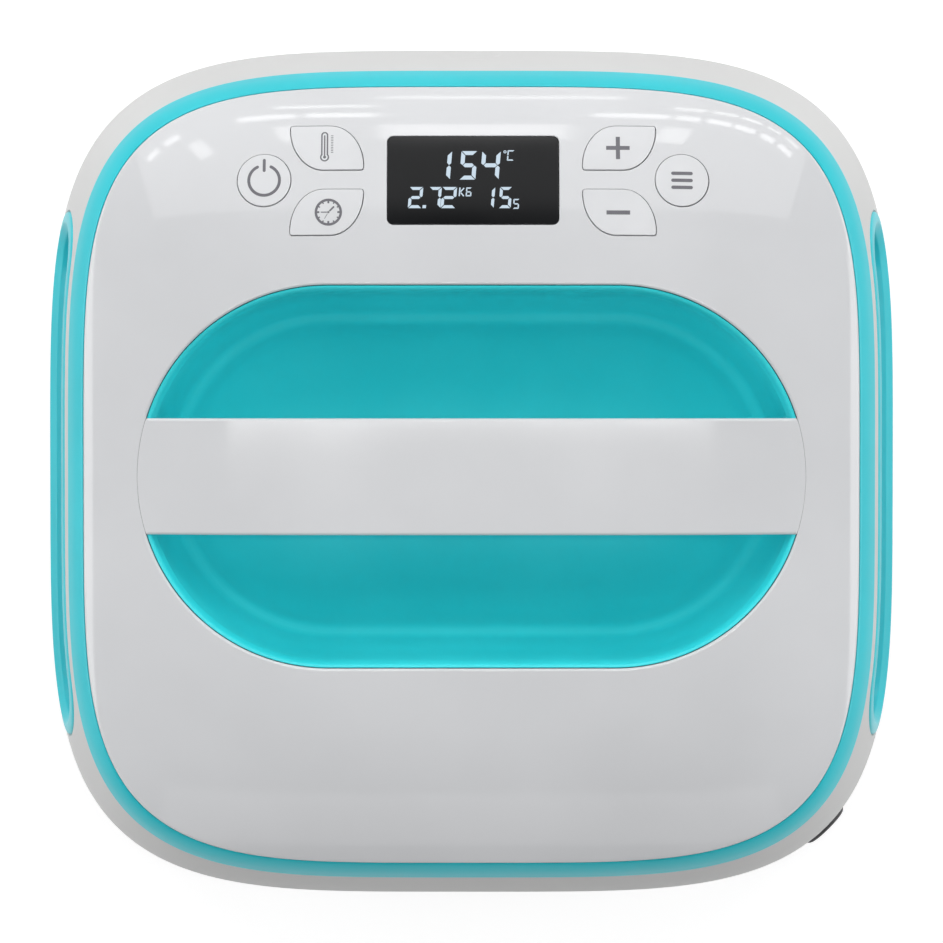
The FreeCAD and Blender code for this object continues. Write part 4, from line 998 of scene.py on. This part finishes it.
def keyhole(half_width, bulb_radius, bulb_y, top_y):
    """Outline of a stem with a round bulb: the bulb's arc, open at the stem, and the stem's round end."""
    opening = math.asin(half_width / bulb_radius)
    round_bulb = np.linspace(quarter + opening, 5 * quarter - opening, bulb_points)
    round_end = np.linspace(0, math.pi, stem_end_points)
    low = bulb_radius * rays(round_bulb) + [0.0, bulb_y]
    high = half_width * rays(round_end) + [0.0, top_y]
    return np.concatenate([low, high])


def thermometer():
    """Outline of a stem and a bulb, the column inside it and a scale of short ticks beside it."""
    bulb_y = -3.3
    top_y = 4.1
    column_top = 3.9
    tick_step = 0.56
    glass = [keyhole(1.12, 1.45, bulb_y, top_y), keyhole(0.66, 0.99, bulb_y, top_y)[::-1]]
    bulb = [disc((0.0, bulb_y), 0.48, 20)]
    column = [stroke((0, -3.0), (0, column_top), 0.42)]
    heights = column_top - tick_step * np.arange(11)
    return [glass, bulb, column] + [[stroke((2.0, y), (2.75, y), 0.2, rounded=False)] for y in heights]


def clock():
    """Ring, twelve ticks and three hands."""
    rim_radius = 4.35
    face_radius = 3.55
    tick_radius = 3.62
    hub_radius = 0.36
    quarter_tick = (2.85, 0.62)
    hour_tick = (3.1, 0.42)
    marks = [[disc((0, 0), rim_radius, 64), disc((0, 0), face_radius, 64)[::-1]]]
    for k, ray in enumerate(rays(even_angles(12))):
        inner, width = quarter_tick if k % 3 == 0 else hour_tick
        marks.append([stroke(ray * tick_radius, ray * inner, width, rounded=False)])
    marks.append([disc((0, 0), hub_radius, 16)])
    hands = [
        ((0.5, 0.5), (1.65, 1.65), 0.55), ((-0.55, 0), (-2.3, 0), 0.32),
        ((-0.3, -0.55), (-1.2, -2.05), 0.16),
    ]
    return marks + [[stroke(*hand)] for hand in hands]


quarter_turn = np.array([(0, 1), (-1, 0)])
arm = np.array([(plus_stroke, -plus_half), (plus_stroke, -plus_stroke), (plus_half, -plus_stroke)])
cross = np.concatenate([arm @ np.linalg.matrix_power(quarter_turn, k) for k in range(4)])
dash = stroke((-plus_half, 0), (plus_half, 0), 2 * plus_stroke, rounded=False)
make_mark("power", [
    [curved_stroke(power_radius, quarter + power_gap, 5 * quarter - power_gap, power_stroke)],
    [stroke((0, 3.2), (0, 6.6), power_stroke)],
])
make_mark("temperature", thermometer(), (-0.75, 0.2))
make_mark("timer", clock(), (0.55, 0.0))
make_mark("plus", [[cross]], (-0.4, 0.0))
make_mark("minus", [[dash]], (-0.4, -0.1))
make_mark("preset", [
    [stroke((-bar_mark_half, y), (bar_mark_half, y), bar_mark_stroke)] for y in (2.3, 0.0, -2.3)
])


# Cover

cover_top_insets = (3.2, 2.2)
cover_foot_round = 0.3
joint_round = 0.12
joint_blend = 2.4
joint_from_x = 90.0
hole_edge_round = 0.15
lens_gap = 0.1
ledge_width = 1.5
ledge_corner = 0.6
boss_points = 24
boss_start = 1.8
boss_hole_share = 0.8
cover_boss_half = 117.6
cover_boss_radii = (3.4, 1.45)
panel_boss_places = [(-74.0, 14.5), (-74.0, -14.5), (74.0, 14.5), (74.0, -14.5), (-30.8, 0.0), (30.8, 0.0)]
panel_boss_depth = 14.6
panel_boss_radii = (2.4, 0.9)


def scaled(outline, half):
    """Rounded square drawn for the cover's half width, at another half width."""
    points, normals = outline
    return points * (half / cover_half), normals


def boss(shell, start, down, length, outer, inner):
    """Round post with a blind hole, from a place along a direction."""
    across = unit(np.cross(down, [0.0, 1.0, 0.1]))
    ray = rays(even_angles(boss_points)) @ [across, np.cross(down, across)]
    end = start + down * length
    mouth = end - down * (length * boss_hole_share)
    places = [start + outer * ray, end + outer * ray, end + inner * ray, mouth + inner * ray]
    rings = shell.sweep(places, turned=True)
    shell.fan(rings[0], start, up=False)
    shell.fan(rings[-1], mouth)


def add_bosses(shell):
    """Posts under the cover: eight near its rim, straight down, and six square to the panel."""
    plan = square_points(cover_boss_half, cover_power, even_angles(8) + quarter / 4)[0]
    for start in on_cover(plan, -boss_start):
        boss(shell, start, np.array([0.0, 0.0, -1.0]), start[2] - housing_top, *cover_boss_radii)
    for start in panel_points(np.array(panel_boss_places), -boss_start):
        length = (start - panel_place) @ panel_normal + panel_boss_depth
        boss(shell, start, -panel_normal, length, *panel_boss_radii)


def make_cover():
    """Domed cover with its rim, the bowl's opening, the display's seat and the buttons' holes."""
    shell = Shell()
    rim = square_outline(cover_half, cover_power, rim_points)
    edges = [on_dome(scaled(rim, cover_half - inset)) for inset in cover_top_insets]
    tops = [shell.ring(*edge[:2]) for edge in edges]
    rolls = rolled(shell, on_dome(rim), cover_edge_round, rim_turn_steps)[0]
    feet = []
    for inset, rise in ((0.0, cover_foot_round), (cover_foot_round, 0.0), (cover_thick, 0.0)):
        feet.append(shell.ring(at_height(scaled(rim, cover_half - inset)[0], ring_seat_z + rise)))
    inner_plan = scaled(rim, cover_half - cover_thick)[0]
    inner_ring = shell.ring(on_cover(inner_plan, -cover_thick))
    shell.strips(tops + rolls + feet + [inner_ring])
    top_rings = [tops[0]]
    top_flats = [edges[0][0][:, :2]]
    low_rings = [inner_ring]
    low_flats = [inner_plan]
    bowl = reversed_ring(stadium(bowl_half_length, bowl_radius, opening_spacing))
    x, y = np.abs(bowl[0]).T
    beside_bar = np.clip((y - bar_half_width + joint_blend / 2) / joint_blend, 0, 1)
    beside_bar = np.where(x > joint_from_x, beside_bar, 1.0)
    holes = [(on_dome(bowl), joint_round + (bowl_edge_round - joint_round) * beside_bar, cover_thick)]
    for name in button_names:
        hole = reversed_ring(button_outline(name, button_gap))
        holes.append((on_panel(hole), hole_edge_round, cover_thick))
    seat_size = np.array(lens_size) + 2 * lens_gap
    seat = rounded_rectangle((0, 0), seat_size, [lens_corner + lens_gap] * 4, button_spacing)
    holes.append((on_panel(reversed_ring(seat)), lens_edge_round, lens_thick))
    for edge, radius, depth in holes:
        rings, places = rolled(shell, edge, radius)
        foot = slid(places[-1][0], edge[3], -depth)
        low = shell.ring(foot)
        shell.strips(rings + [low])
        if depth == lens_thick:
            ledge_size = seat_size - 2 * ledge_width
            ledge = rounded_rectangle((0, 0), ledge_size, [ledge_corner] * 4, button_spacing)[0][::-1]
            inner = panel_points(ledge, -lens_thick)
            shelf = shell.ring(inner)
            flats = [foot[::-1, :2], inner[:, :2]]
            shell.fill([low[::-1], shelf], flats, ledge_spacing, dome_lift(-lens_thick))
            foot = slid(inner, edge[3], -cover_thick)
            low = shell.ring(foot)
            shell.strip(shelf, low)
        top_rings.append(rings[0])
        top_flats.append(places[0][0][:, :2])
        low_rings.append(low)
        low_flats.append(foot[:, :2])
    shell.fill(top_rings, top_flats, cover_spacing, dome_lift(0.0))
    shell.fill(low_rings, low_flats, cover_back_spacing, dome_lift(-cover_thick, -1), up=False)
    add_bosses(shell)
    shell.piece("domed_cover", white_abs, "press", ["top_cover"])


make_cover()


# Accent ring

# Height, half width and power of its rounded squares: up the outer bevel, over the top and down inside
ring_profile = [
    (84.0, 129.5, 4.17), (84.05, 129.85, 4.17), (84.35, 130.1, 4.17), (84.9, 130.38, 4.17),
    (85.25, 130.42, 4.17), (85.65, 130.3, 4.17), (86.1, 130.05, 4.18), (88.0, 129.1, 4.21),
    (90.0, 127.85, 4.25), (91.8, 126.35, 4.28), (92.55, 125.55, 4.3), (92.9, 125.2, 4.3),
    (93.0, 124.95, 4.3), (92.85, 124.8, 4.3), (92.2, 124.75, 4.3), (92.2, 121.6, 4.2), (84.0, 121.6, 4.2),
]


def make_ring():
    """Rounded squares joined to a closed band."""
    shell = Shell()
    places = [at_height(square_outline(half, power, rim_points)[0], z) for z, half, power in ring_profile]
    shell.sweep(places, closed=True, turned=True)
    shell.piece("accent_band", teal_abs, "press", ["accent_ring"])


make_ring()


# Housing wall: places on it are given by the angle round it and the height

slope_step = 0.05
sheet_low = housing_bottom + 0.9
sheet_high = housing_top - 0.4
grip_gap = 0.2
gland_angle = math.radians(-45)
gland_search = math.radians(12)
gland_points = 48
halvings = 40
rear_wall_y = 136.5
dimple_points = 48
dimple_steps = 30
dimple_shares = [1.09, 1.04, 1.0, 0.96, 0.9, 0.8, 0.66, 0.5, 0.33, 0.16]
dimple_blend_share = 1.05
dimple_soft = 0.12
# Rise and inset of the rings round the wall's two edges
wall_foot = [(0.62, 0.1), (0.25, 0.4), (0.0, 0.95), (0.0, housing_wall)]
wall_head = [(0.0, housing_wall), (0.0, 0.4), (-0.12, 0.12)]
# Foot, top, outer and inner half width of the ledges inside
wall_ledges = [(80.5, 84.0, 128.4, 113.0), (33.0, 35.5, 137.6, 126.0)]
ledge_points = 360


def wall_places(angles, z, inset=0.0):
    """Places and outward normals on the wall, whose section is a rounded square that narrows with height."""
    plan, gradient = square_points(housing_half(z) - inset, outline_power, angles)
    slope = (housing_half(z + slope_step) - housing_half(z - slope_step)) / (2 * slope_step)
    return at_height(plan, z), unit(at_height(gradient, -slope))


def skin(across, z, out=0.0):
    """How far a side of the wall stands from the middle, at a place across it and a height."""
    half = housing_half(z) + out
    return (half ** outline_power - np.abs(across) ** outline_power) ** (1 / outline_power)


seam_angle = math.radians(-62)
table_size = 4001
table_angles = np.linspace(seam_angle, seam_angle + 2 * math.pi, table_size)
table_places = wall_places(table_angles, np.full(table_size, grip_z))[0]
table_runs = np.concatenate([[0], np.cumsum(np.linalg.norm(np.diff(table_places, axis=0), axis=1))])


def run_of(angles):
    """Length round the wall to an angle."""
    turned = (angles - seam_angle) % (2 * math.pi) + seam_angle
    return np.interp(turned, table_angles, table_runs)


def angle_of(runs):
    """Angle at a length round the wall."""
    return np.interp(runs, table_runs, table_angles)


def gland_hole(count):
    """Clockwise circle about the diagonal axis laid on the wall, by bisection of each point's angle."""
    across, rise = gland_hole_radius * rays(even_angles(count)[::-1]).T
    z = gland_z + rise
    low = np.full(count, gland_angle - gland_search)
    high = np.full(count, gland_angle + gland_search)
    for _ in range(halvings):
        middle = (low + high) / 2
        places = wall_places(middle, z)[0]
        before = (places[:, 0] + places[:, 1]) / math.sqrt(2) < across
        low = np.where(before, middle, low)
        high = np.where(before, high, middle)
    return (low + high) / 2, z


def wall_sheet(shell, inset, holes):
    """The wall's skin as triangles over its length and height, with holes. Returns its two edge rings."""
    runs = np.linspace(0, table_runs[-1], int(table_runs[-1] / wall_spacing) + 1)
    rise = np.linspace(sheet_low, sheet_high, int((sheet_high - sheet_low) / wall_spacing) + 1)[1:-1]
    sign = 1 if inset == 0 else -1

    def lifted(flat):
        places, facing = wall_places(angle_of(flat[:, 0]), flat[:, 1], inset)
        return places, sign * facing

    low = at_height(runs, sheet_low)
    high = at_height(runs, sheet_high)
    left = at_side(rise, 0.0)
    right = at_side(rise, table_runs[-1])
    low_ring = shell.ring(*lifted(low[:-1]))
    high_ring = shell.ring(*lifted(high[:-1]))
    seam = shell.ring(*lifted(left))
    border = np.concatenate([low, right, high[::-1], left[::-1]])
    numbers = np.concatenate([low_ring, low_ring[:1], seam, high_ring[:1], high_ring[::-1], seam[::-1]])
    rings, flats = zip((numbers, border), *holes)
    shell.fill(rings, flats, wall_spacing, lifted, up=(sign > 0))
    return low_ring, high_ring


def add_dimple(shell):
    """Hollow of a ball in the rear wall. Its edge is where both meet, found in steps, and there they blend
    by the soft least of the two: minus the log of the sum of exp(-y). Returns its rim and the rim's run."""
    turn = even_angles(dimple_points)
    ball = (dimple_radius ** 2 + dimple_depth ** 2) / (2 * dimple_depth)
    ball_y = rear_wall_y - dimple_depth + ball
    reach = np.full(dimple_points, dimple_radius)
    for _ in range(dimple_steps):
        wall_y = skin(reach * np.cos(turn), dimple_z + reach * np.sin(turn))
        reach = np.sqrt(np.clip(ball ** 2 - (wall_y - ball_y) ** 2, 0, None))
    places = []
    for share in dimple_shares:
        x = reach * share * np.cos(turn)
        z = dimple_z + reach * share * np.sin(turn)
        wall_y = skin(x, z)
        hollow_y = ball_y - np.sqrt(np.clip(ball ** 2 - x ** 2 - (z - dimple_z) ** 2, 0, None))
        top = wall_y.max()
        both = np.exp((top - wall_y) / dimple_soft) + np.exp((top - hollow_y) / dimple_soft)
        y = wall_y if share > dimple_blend_share else top - dimple_soft * np.log(both)
        places.append(np.column_stack([x, y, z]))
    rings = shell.sweep(places)
    shell.fan(rings[-1][::-1], (0.0, ball_y - ball, dimple_z))
    x, y, z = places[0].T
    return rings[0], np.column_stack([run_of(np.arctan2(y, x)), z])


def make_wall():
    """White side wall with its edges, the holes for the grips and the gland, and the dimple at the rear."""
    shell = Shell()
    y, z = stadium(grip_frame[0] + grip_gap, grip_frame[1] + grip_gap, grip_hole_spacing)[0].T
    z = z + grip_z
    right = np.arctan2(y, skin(y, z))
    left = np.arctan2(y, -skin(y, z))
    holes = []
    inner_holes = []
    for angles, heights in ((right[::-1], z[::-1]), (left, z), gland_hole(gland_points)):
        flat = np.column_stack([run_of(angles), heights])
        ring = shell.ring(*wall_places(angles, heights))
        inner = shell.ring(wall_places(angles, heights, housing_wall)[0])
        shell.strip(ring, inner)
        holes.append((ring, flat))
        inner_holes.append((inner, flat))
    holes.append(add_dimple(shell))
    low_ring, high_ring = wall_sheet(shell, 0.0, holes)
    inner_low, inner_high = wall_sheet(shell, housing_wall, inner_holes)
    angles = angle_of(np.linspace(0, table_runs[-1], len(low_ring) + 1)[:-1])

    def rim(edge, steps):
        places = [wall_places(angles, np.full(len(angles), edge + rise), inset)[0] for rise, inset in steps]
        return [shell.ring(points) for points in places]

    shell.strips([low_ring] + rim(housing_bottom, wall_foot) + [inner_low])
    shell.strips([inner_high] + rim(housing_top, wall_head) + [high_ring])
    for foot, top, outer, inner in wall_ledges:
        section = ((top, inner), (top, outer), (foot, outer), (foot, inner))
        places = [at_height(square_outline(half, outline_power, ledge_points)[0], z) for z, half in section]
        shell.sweep(places, closed=True)
    shell.piece("housing_wall", housing_abs, "press", ["lower_housing"])


make_wall()


# Side grips

grip_wall = 2.2
grip_room = 13.9


def grip_ring(grow, depth, share=0.0, place=0.0):
    """Stadium on the wall's skin, grown from the pocket's mouth. It lies a depth under the skin, or by its
    share on the way from there to an upright plane at a place."""
    y, z = stadium(grip_opening[0], grip_opening[1], grip_spacing)[0].T
    straight = grip_opening[0] - grip_opening[1]
    past = np.sign(y) * np.clip(np.abs(y) - straight, 0, None)
    factor = (grip_opening[1] + grow) / grip_opening[1]
    y = y - past + past * factor
    z = z * factor + grip_z
    x = skin(y, z, grip_proud) - depth
    return np.column_stack([(1 - share) * x + share * place, y, z])


def make_grip(name, node, mirror):
    """Stadium rings: round the frame's edge, over its bevel, down the pocket, and back behind it. Each step
    is a ring's growth and depth, and in the pocket its share and place too."""
    shell = Shell()
    reach = grip_frame[1] - grip_opening[1]
    back = grip_pocket_back
    behind = back - grip_wall
    steps = [
        (-grip_room, 0.0, 1.0, behind), (-6.0, 0.0, 1.0, behind), (grip_wall, 0.0, 1.0, behind),
        (grip_wall, 3.3), (reach, 3.3), (reach, 0.55), (reach - 0.16, 0.16), (reach - 0.55, 0.0),
        (reach - 1.6, 0.0), (grip_bevel + 0.4, 0.0), (grip_bevel + 0.05, 0.08), (grip_bevel - 0.25, 0.33),
        (0.3, grip_bevel - 0.22), (0.07, grip_bevel + 0.05), (0.0, grip_bevel + 0.4),
        (0.0, grip_bevel, 0.35, back), (0.0, grip_bevel, 0.7, back), (0.0, 0.0, 1.0, back + 1.6),
        (-0.45, 0.0, 1.0, back + 0.5), (-1.6, 0.0, 1.0, back), (-6.0, 0.0, 1.0, back),
        (-grip_room, 0.0, 1.0, back),
    ]
    places = [grip_ring(*step) for step in steps]
    rings = shell.sweep(places, turned=True)
    for ring, points, up in ((rings[0], places[0], False), (rings[-1], places[-1], True)):
        shell.fill([ring], [points[:, 1:]], edge_only, side_lift(points[0, 0]), up)
    shell.piece(name, teal_abs, "press", [node], mirror)


make_grip("right_grip", "side_grip_right", False)
make_grip("left_grip", "side_grip_left", True)


# Hand bowl

bowl_knots = np.concatenate([[0], np.cumsum(np.hypot(np.diff(bowl_heights), np.diff(bowl_insets)))])
bowl_wall = 2.05
bowl_rings = 64
bowl_table_size = 800
under_lip = 5.4
share_step = 1e-3
# Inset and drop under the dome of the rings of the lip, and of the flange that carries the bowl
lip_steps = [
    (0.2, 3.0), (0.2, 1.5), (0.22, 1.05), (0.4, 0.86), (0.8, 0.98), (1.2, 1.35), (1.55, 1.95), (1.85, 2.85),
    (2.05, 3.9),
]
flange_steps = [(-7.0, 2.8), (-7.0, 4.8), (-0.2, 4.8), (-0.2, 2.8)]
screw_places = (-48.0, -16.0, 16.0, 48.0)
screw_radius = 4.2
# Radius and depth of the rings of a screw's hole
screw_steps = [(4.5, 0.0), (4.28, 0.1), (screw_radius, 0.4), (screw_radius, 4.0)]


def bowl_section(share):
    """Height and inset along the bowl's wall, as splines over the length of its profile."""
    at = np.asarray(share) * bowl_knots[-1]
    return smooth_curve(bowl_knots, bowl_heights, at), smooth_curve(bowl_knots, bowl_insets, at)


def make_bowl():
    """Stadium rings from the wall's back over its lip and down the inside to the floor, with the closing
    screws' holes. Each point's wall starts at one depth under the dome."""
    shell = Shell()
    points, normals = stadium(bowl_half_length, bowl_radius, bowl_spacing)
    lip, flange = [
        [on_cover(points - inset * normals, -drop) for inset, drop in steps]
        for steps in (lip_steps, flange_steps)
    ]
    rim_z = on_cover(points - bowl_insets[1] * normals, -under_lip)[:, 2]
    table = np.linspace(0.0, 1.0, bowl_table_size)
    start = np.interp(-rim_z, -bowl_section(table)[0], table)
    front = []
    back = []
    for down_share in np.linspace(0.0, 1.0, bowl_rings):
        share = start + (1 - start) * down_share
        height, inset = bowl_section(share)
        high, near = bowl_section(share - share_step)
        low, far = bowl_section(share + share_step)
        fall, inward = bowl_wall * unit(np.stack([low - high, far - near], axis=1)).T
        front.append(at_height(points - inset[:, None] * normals, height))
        back.append(at_height(points - (inset + fall)[:, None] * normals, height - inward))
    places = back[:0:-2] + [back[0]] + lip + front
    rings = shell.sweep(places, turned=True)
    floor = bowl_heights[-1]
    floor_rings = [rings[-1]]
    floor_flats = [places[-1][:, :2]]
    for x in screw_places:
        hole = circle((x, 0.0), screw_radius, screw_spacing)[0][::-1] - [x, 0.0]
        hole_places = [
            at_height(hole * (radius / screw_radius) + [x, 0.0], floor - drop)
            for radius, drop in screw_steps
        ]
        hole_rings = shell.sweep(hole_places)
        shell.fan(hole_rings[-1][::-1], (x, 0.0, floor - screw_steps[-1][1]))
        floor_rings.append(hole_rings[0])
        floor_flats.append(hole_places[0][:, :2])
    shell.fill(floor_rings, floor_flats, bowl_floor_spacing, level_lift(floor))
    shell.fill([rings[0]], [places[0][:, :2]], bowl_back_spacing, level_lift(places[0][0, 2]), up=False)
    shell.sweep(flange, closed=True)
    # The bowl's teal is lightened as painted light against the shade in its depth
    shell.piece("hand_bowl", bowl_teal_painted_light, "press", ["handle_well"])


make_bowl()


# Bar across the bowl

bar_gap = 0.06
bar_ceiling = 2.4
bar_end_blend = 1.0
bar_floor = 3.0
bar_inner_round = 6.4
bar_rim = 0.4
bar_rim_soft = 0.12
bar_turn_points = 15
bar_flat_points = 9
bar_sections = 41
bar_sections_half = 100.0
# Inset and rise of the rings round the upper half's foot
bar_foot_steps = [(0.0, 0.35), (0.1, 0.1), (0.35, 0.0)]


def make_bar_top():
    """Upper half of the bar: its top follows the dome, with rounded long edges and close ends."""
    shell = Shell()
    plan, facing = bar_outline(-bar_gap, bar_spacing)
    beside = np.clip((np.abs(plan[:, 1]) - bar_half_width) / bar_end_blend + 1, 0, 1)
    soft = joint_round + (bar_top_round - joint_round) * beside ** 2 * (3 - 2 * beside)
    rings, places = rolled(shell, on_dome((plan, facing)), soft, rim_turn_steps)
    shell.fill([rings[0]], [places[0][0][:, :2]], cover_spacing, dome_lift(0.0))
    inner_plan = plan * (1 - bar_wall / np.abs(plan).max(axis=0))
    walls = []
    for inset, rise in bar_foot_steps:
        walls.append(shell.ring(at_height(plan - inset * facing, bar_split + rise)))
    walls.append(shell.ring(at_height(inner_plan, bar_split)))
    ceiling = shell.ring(on_cover(inner_plan, -bar_ceiling))
    shell.strips(rings + walls + [ceiling])
    shell.fill([ceiling], [inner_plan], bar_ceiling_spacing, dome_lift(-bar_ceiling, -1), up=False)
    shell.piece("bar_top", white_abs, "press", ["handle_top_shell"])


make_bar_top()


def bar_profile(half, low, turn, top):
    """U-shaped line from the rear edge down, round its corner, along the bottom and up to the front edge."""
    rear = turn * rays(-np.linspace(0, quarter, bar_turn_points)) + [half - turn, low + turn]
    flat = at_height(np.linspace(half - turn, turn - half, bar_flat_points)[1:-1], low)
    return np.concatenate([[[half, top]], rear, flat, rear[::-1] * [-1, 1], [[-half, top]]])


def make_bar_bottom():
    """Lower half of the bar: one channel section carried along the bar and closed at both ends."""
    shell = Shell()
    inner_half = bar_half_width - bar_wall
    outer = bar_profile(bar_half_width, bar_bottom, bar_bottom_round, bar_split - bar_rim)
    inner = bar_profile(inner_half, bar_bottom + bar_floor, bar_inner_round, bar_split - bar_rim)
    rim = np.array([
        (inner_half, bar_split), (bar_half_width - bar_rim, bar_split),
        (bar_half_width - bar_rim_soft, bar_split - bar_rim_soft),
    ])
    section = np.concatenate([outer, rim[::-1] * [-1, 1], inner[::-1], rim])
    between = np.linspace(-bar_sections_half, bar_sections_half, bar_sections)
    stations = np.concatenate([[-bar_under_cover], between, [bar_under_cover]])
    rings = shell.sweep([at_side(section, x) for x in stations])
    for ring, x, up in ((rings[0], -bar_under_cover, False), (rings[-1], bar_under_cover, True)):
        shell.fill([ring[::-1]], [section[::-1]], edge_only, side_lift(x), up)
    shell.piece("bar_bottom", white_abs, "press", ["handle_bottom_shell"])


make_bar_bottom()


# Studio: pale floor, soft lamps and the camera

floor_reach = 6.0
floor_light = 0.72
rear_wall_light = 0.95
front_wall_light = 0.25
ceiling_light = 0.14
front_wall_ends = -0.7
rear_wall_starts = 0.2
wall_height = 0.12
ceiling_height = 0.36
aim_height = 0.1
pane_distance = 2.4
camera_lens = 171.4
camera_sensor = 36.0
camera_reach = 1.5
camera_lean = math.radians(1.3)
camera_aim = 0.036


def make_floor():
    """Wide pale floor that keeps the object's shadow and is white to the camera elsewhere."""
    mesh = bpy.data.meshes.new("floor")
    corners = [(-1, -1), (1, -1), (1, 1), (-1, 1)]
    mesh.from_pydata([(floor_reach * x, floor_reach * y, 0) for x, y in corners], [], [(0, 1, 2, 3)])
    floor = bpy.data.objects.new("floor", mesh)
    bpy.context.scene.collection.objects.link(floor)
    material = bpy.data.materials.new("pale_studio_floor")
    material.use_nodes = True
    tree = material.node_tree
    tree.nodes.clear()
    ray = add_node(tree, "ShaderNodeLightPath").outputs
    seen = ray["Is Camera Ray"]
    for kind in ("Is Glossy Ray", "Is Transmission Ray"):
        either = add_node(tree, "ShaderNodeMath", {0: seen, 1: ray[kind]}, operation="MAXIMUM")
        seen = either.outputs["Value"]
    glow = add_node(tree, "ShaderNodeMath", {0: seen, 1: floor_light}, operation="MULTIPLY")
    matte = add_node(tree, "ShaderNodeBsdfDiffuse", {"Color": (0.5, 0.5, 0.5, 1.0)})
    light = add_node(tree, "ShaderNodeEmission", {"Strength": glow.outputs["Value"]})
    both = add_node(tree, "ShaderNodeAddShader", {0: matte.outputs["BSDF"], 1: light.outputs["Emission"]})
    add_node(tree, "ShaderNodeOutputMaterial", {"Surface": both.outputs["Shader"]})
    mesh.materials.append(material)


make_floor()


def make_world():
    """Pale walls round the press, lighter at the rear, under a grey ceiling: light by direction alone."""
    world = bpy.data.worlds.new("studio")
    bpy.context.scene.world = world
    world.use_nodes = True
    tree = world.node_tree
    tree.nodes.clear()
    direction = add_node(tree, "ShaderNodeTexCoord")
    part = add_node(tree, "ShaderNodeSeparateXYZ", {"Vector": direction.outputs["Generated"]})
    walls = add_node(tree, "ShaderNodeMapRange", {
        "Value": part.outputs["Y"], "From Min": front_wall_ends, "From Max": rear_wall_starts,
        "To Min": front_wall_light, "To Max": rear_wall_light,
    }, interpolation_type="SMOOTHSTEP")
    level = add_node(tree, "ShaderNodeMapRange", {
        "Value": part.outputs["Z"], "From Min": wall_height, "From Max": ceiling_height,
        "To Min": walls.outputs["Result"], "To Max": ceiling_light,
    }, interpolation_type="SMOOTHSTEP")
    light = add_node(tree, "ShaderNodeBackground", {
        "Color": (0.97, 0.98, 1.0, 1.0), "Strength": level.outputs["Result"],
    })
    add_node(tree, "ShaderNodeOutputWorld", {"Surface": light.outputs["Background"]})


make_world()


def soft_lamp(name, azimuth, lean, distance, size, power):
    """Rectangular lamp that faces the press. Azimuth 0 is the rear and 90 the right; lean is from above."""
    data = bpy.data.lights.new(name, "AREA")
    data.shape = "RECTANGLE"
    data.size = size[0]
    data.size_y = size[1]
    data.energy = power
    lamp = bpy.data.objects.new(name, data)
    turn = math.radians(azimuth)
    tilt = math.radians(lean)
    level = distance * math.sin(tilt)
    lamp.location = (level * math.sin(turn), level * math.cos(turn), aim_height + distance * math.cos(tilt))
    lamp.rotation_euler = (-tilt, 0.0, -turn)
    lamp.rotation_mode = "XYZ"
    bpy.context.scene.collection.objects.link(lamp)


# Name, azimuth, lean, distance, size and watts
lamps = [
    ("rear_window_wall", 0, 50, 2.6, (4.2, 2.85), 43.5),
    ("left_window", -90, 72, 2.4, (1.8, 1.0), 17.0),
    ("right_window", 90, 72, 2.4, (1.8, 1.0), 16.5),
    ("front_wall_glow", 180, 48, 2.6, (3.0, 0.9), 5.0),
    ("overhead_strip", 0, 1.9, 3.2, (2.0, 0.2), 22.0),
]
for lamp in lamps:
    soft_lamp(*lamp)


def pane_row(name, lean, height, panes, brightness):
    """Window panes at one lean, each from one azimuth to another, all of one brightness."""
    for k, (start, end) in enumerate(panes):
        width = pane_distance * math.sin(math.radians(lean)) * math.radians(end - start)
        tall = pane_distance * math.radians(height)
        power = brightness * math.pi * width * tall
        soft_lamp(f"{name}_{k}", (start + end) / 2, lean, pane_distance, (width, tall), power)


# Rows of window panes behind the press, which show as streaks along the cover's rear edge
pane_row("low_panes", 45.0, 5.6, [(-34, -29), (-13, -9), (-3.2, 3.4), (9, 11), (12, 17)], 3.2)
pane_row("middle_panes", 51.5, 1.6, [
    (-48, -43), (-40, -34), (-18, -9), (-8, -3), (4.5, 12),
    (13, 17), (18.5, 24), (25, 31), (33, 38), (40, 46),
], 5.4)
pane_row("high_panes", 55.0, 0.9, [(-11, -3), (12, 17), (18.5, 24), (25, 31), (33, 38), (40, 46)], 5.2)
pane_row("top_panes", 58.5, 0.9, [(-2.5, 6)], 4.8)


def make_camera():
    """Camera over the housing's widest height, leaned a little to the rear."""
    data = bpy.data.cameras.new("camera")
    data.lens = camera_lens
    data.sensor_width = camera_sensor
    data.clip_end = 100.0
    camera = bpy.data.objects.new("camera", data)
    reach = camera_reach * math.sin(camera_lean)
    camera.location = (0.0, reach, camera_aim + camera_reach * math.cos(camera_lean))
    camera.rotation_euler = (-camera_lean, 0.0, 0.0)
    bpy.context.scene.collection.objects.link(camera)
    bpy.context.scene.camera = camera


make_camera()
bpy.context.scene.view_settings.view_transform = "Standard"

bpy.context.view_layer.update()
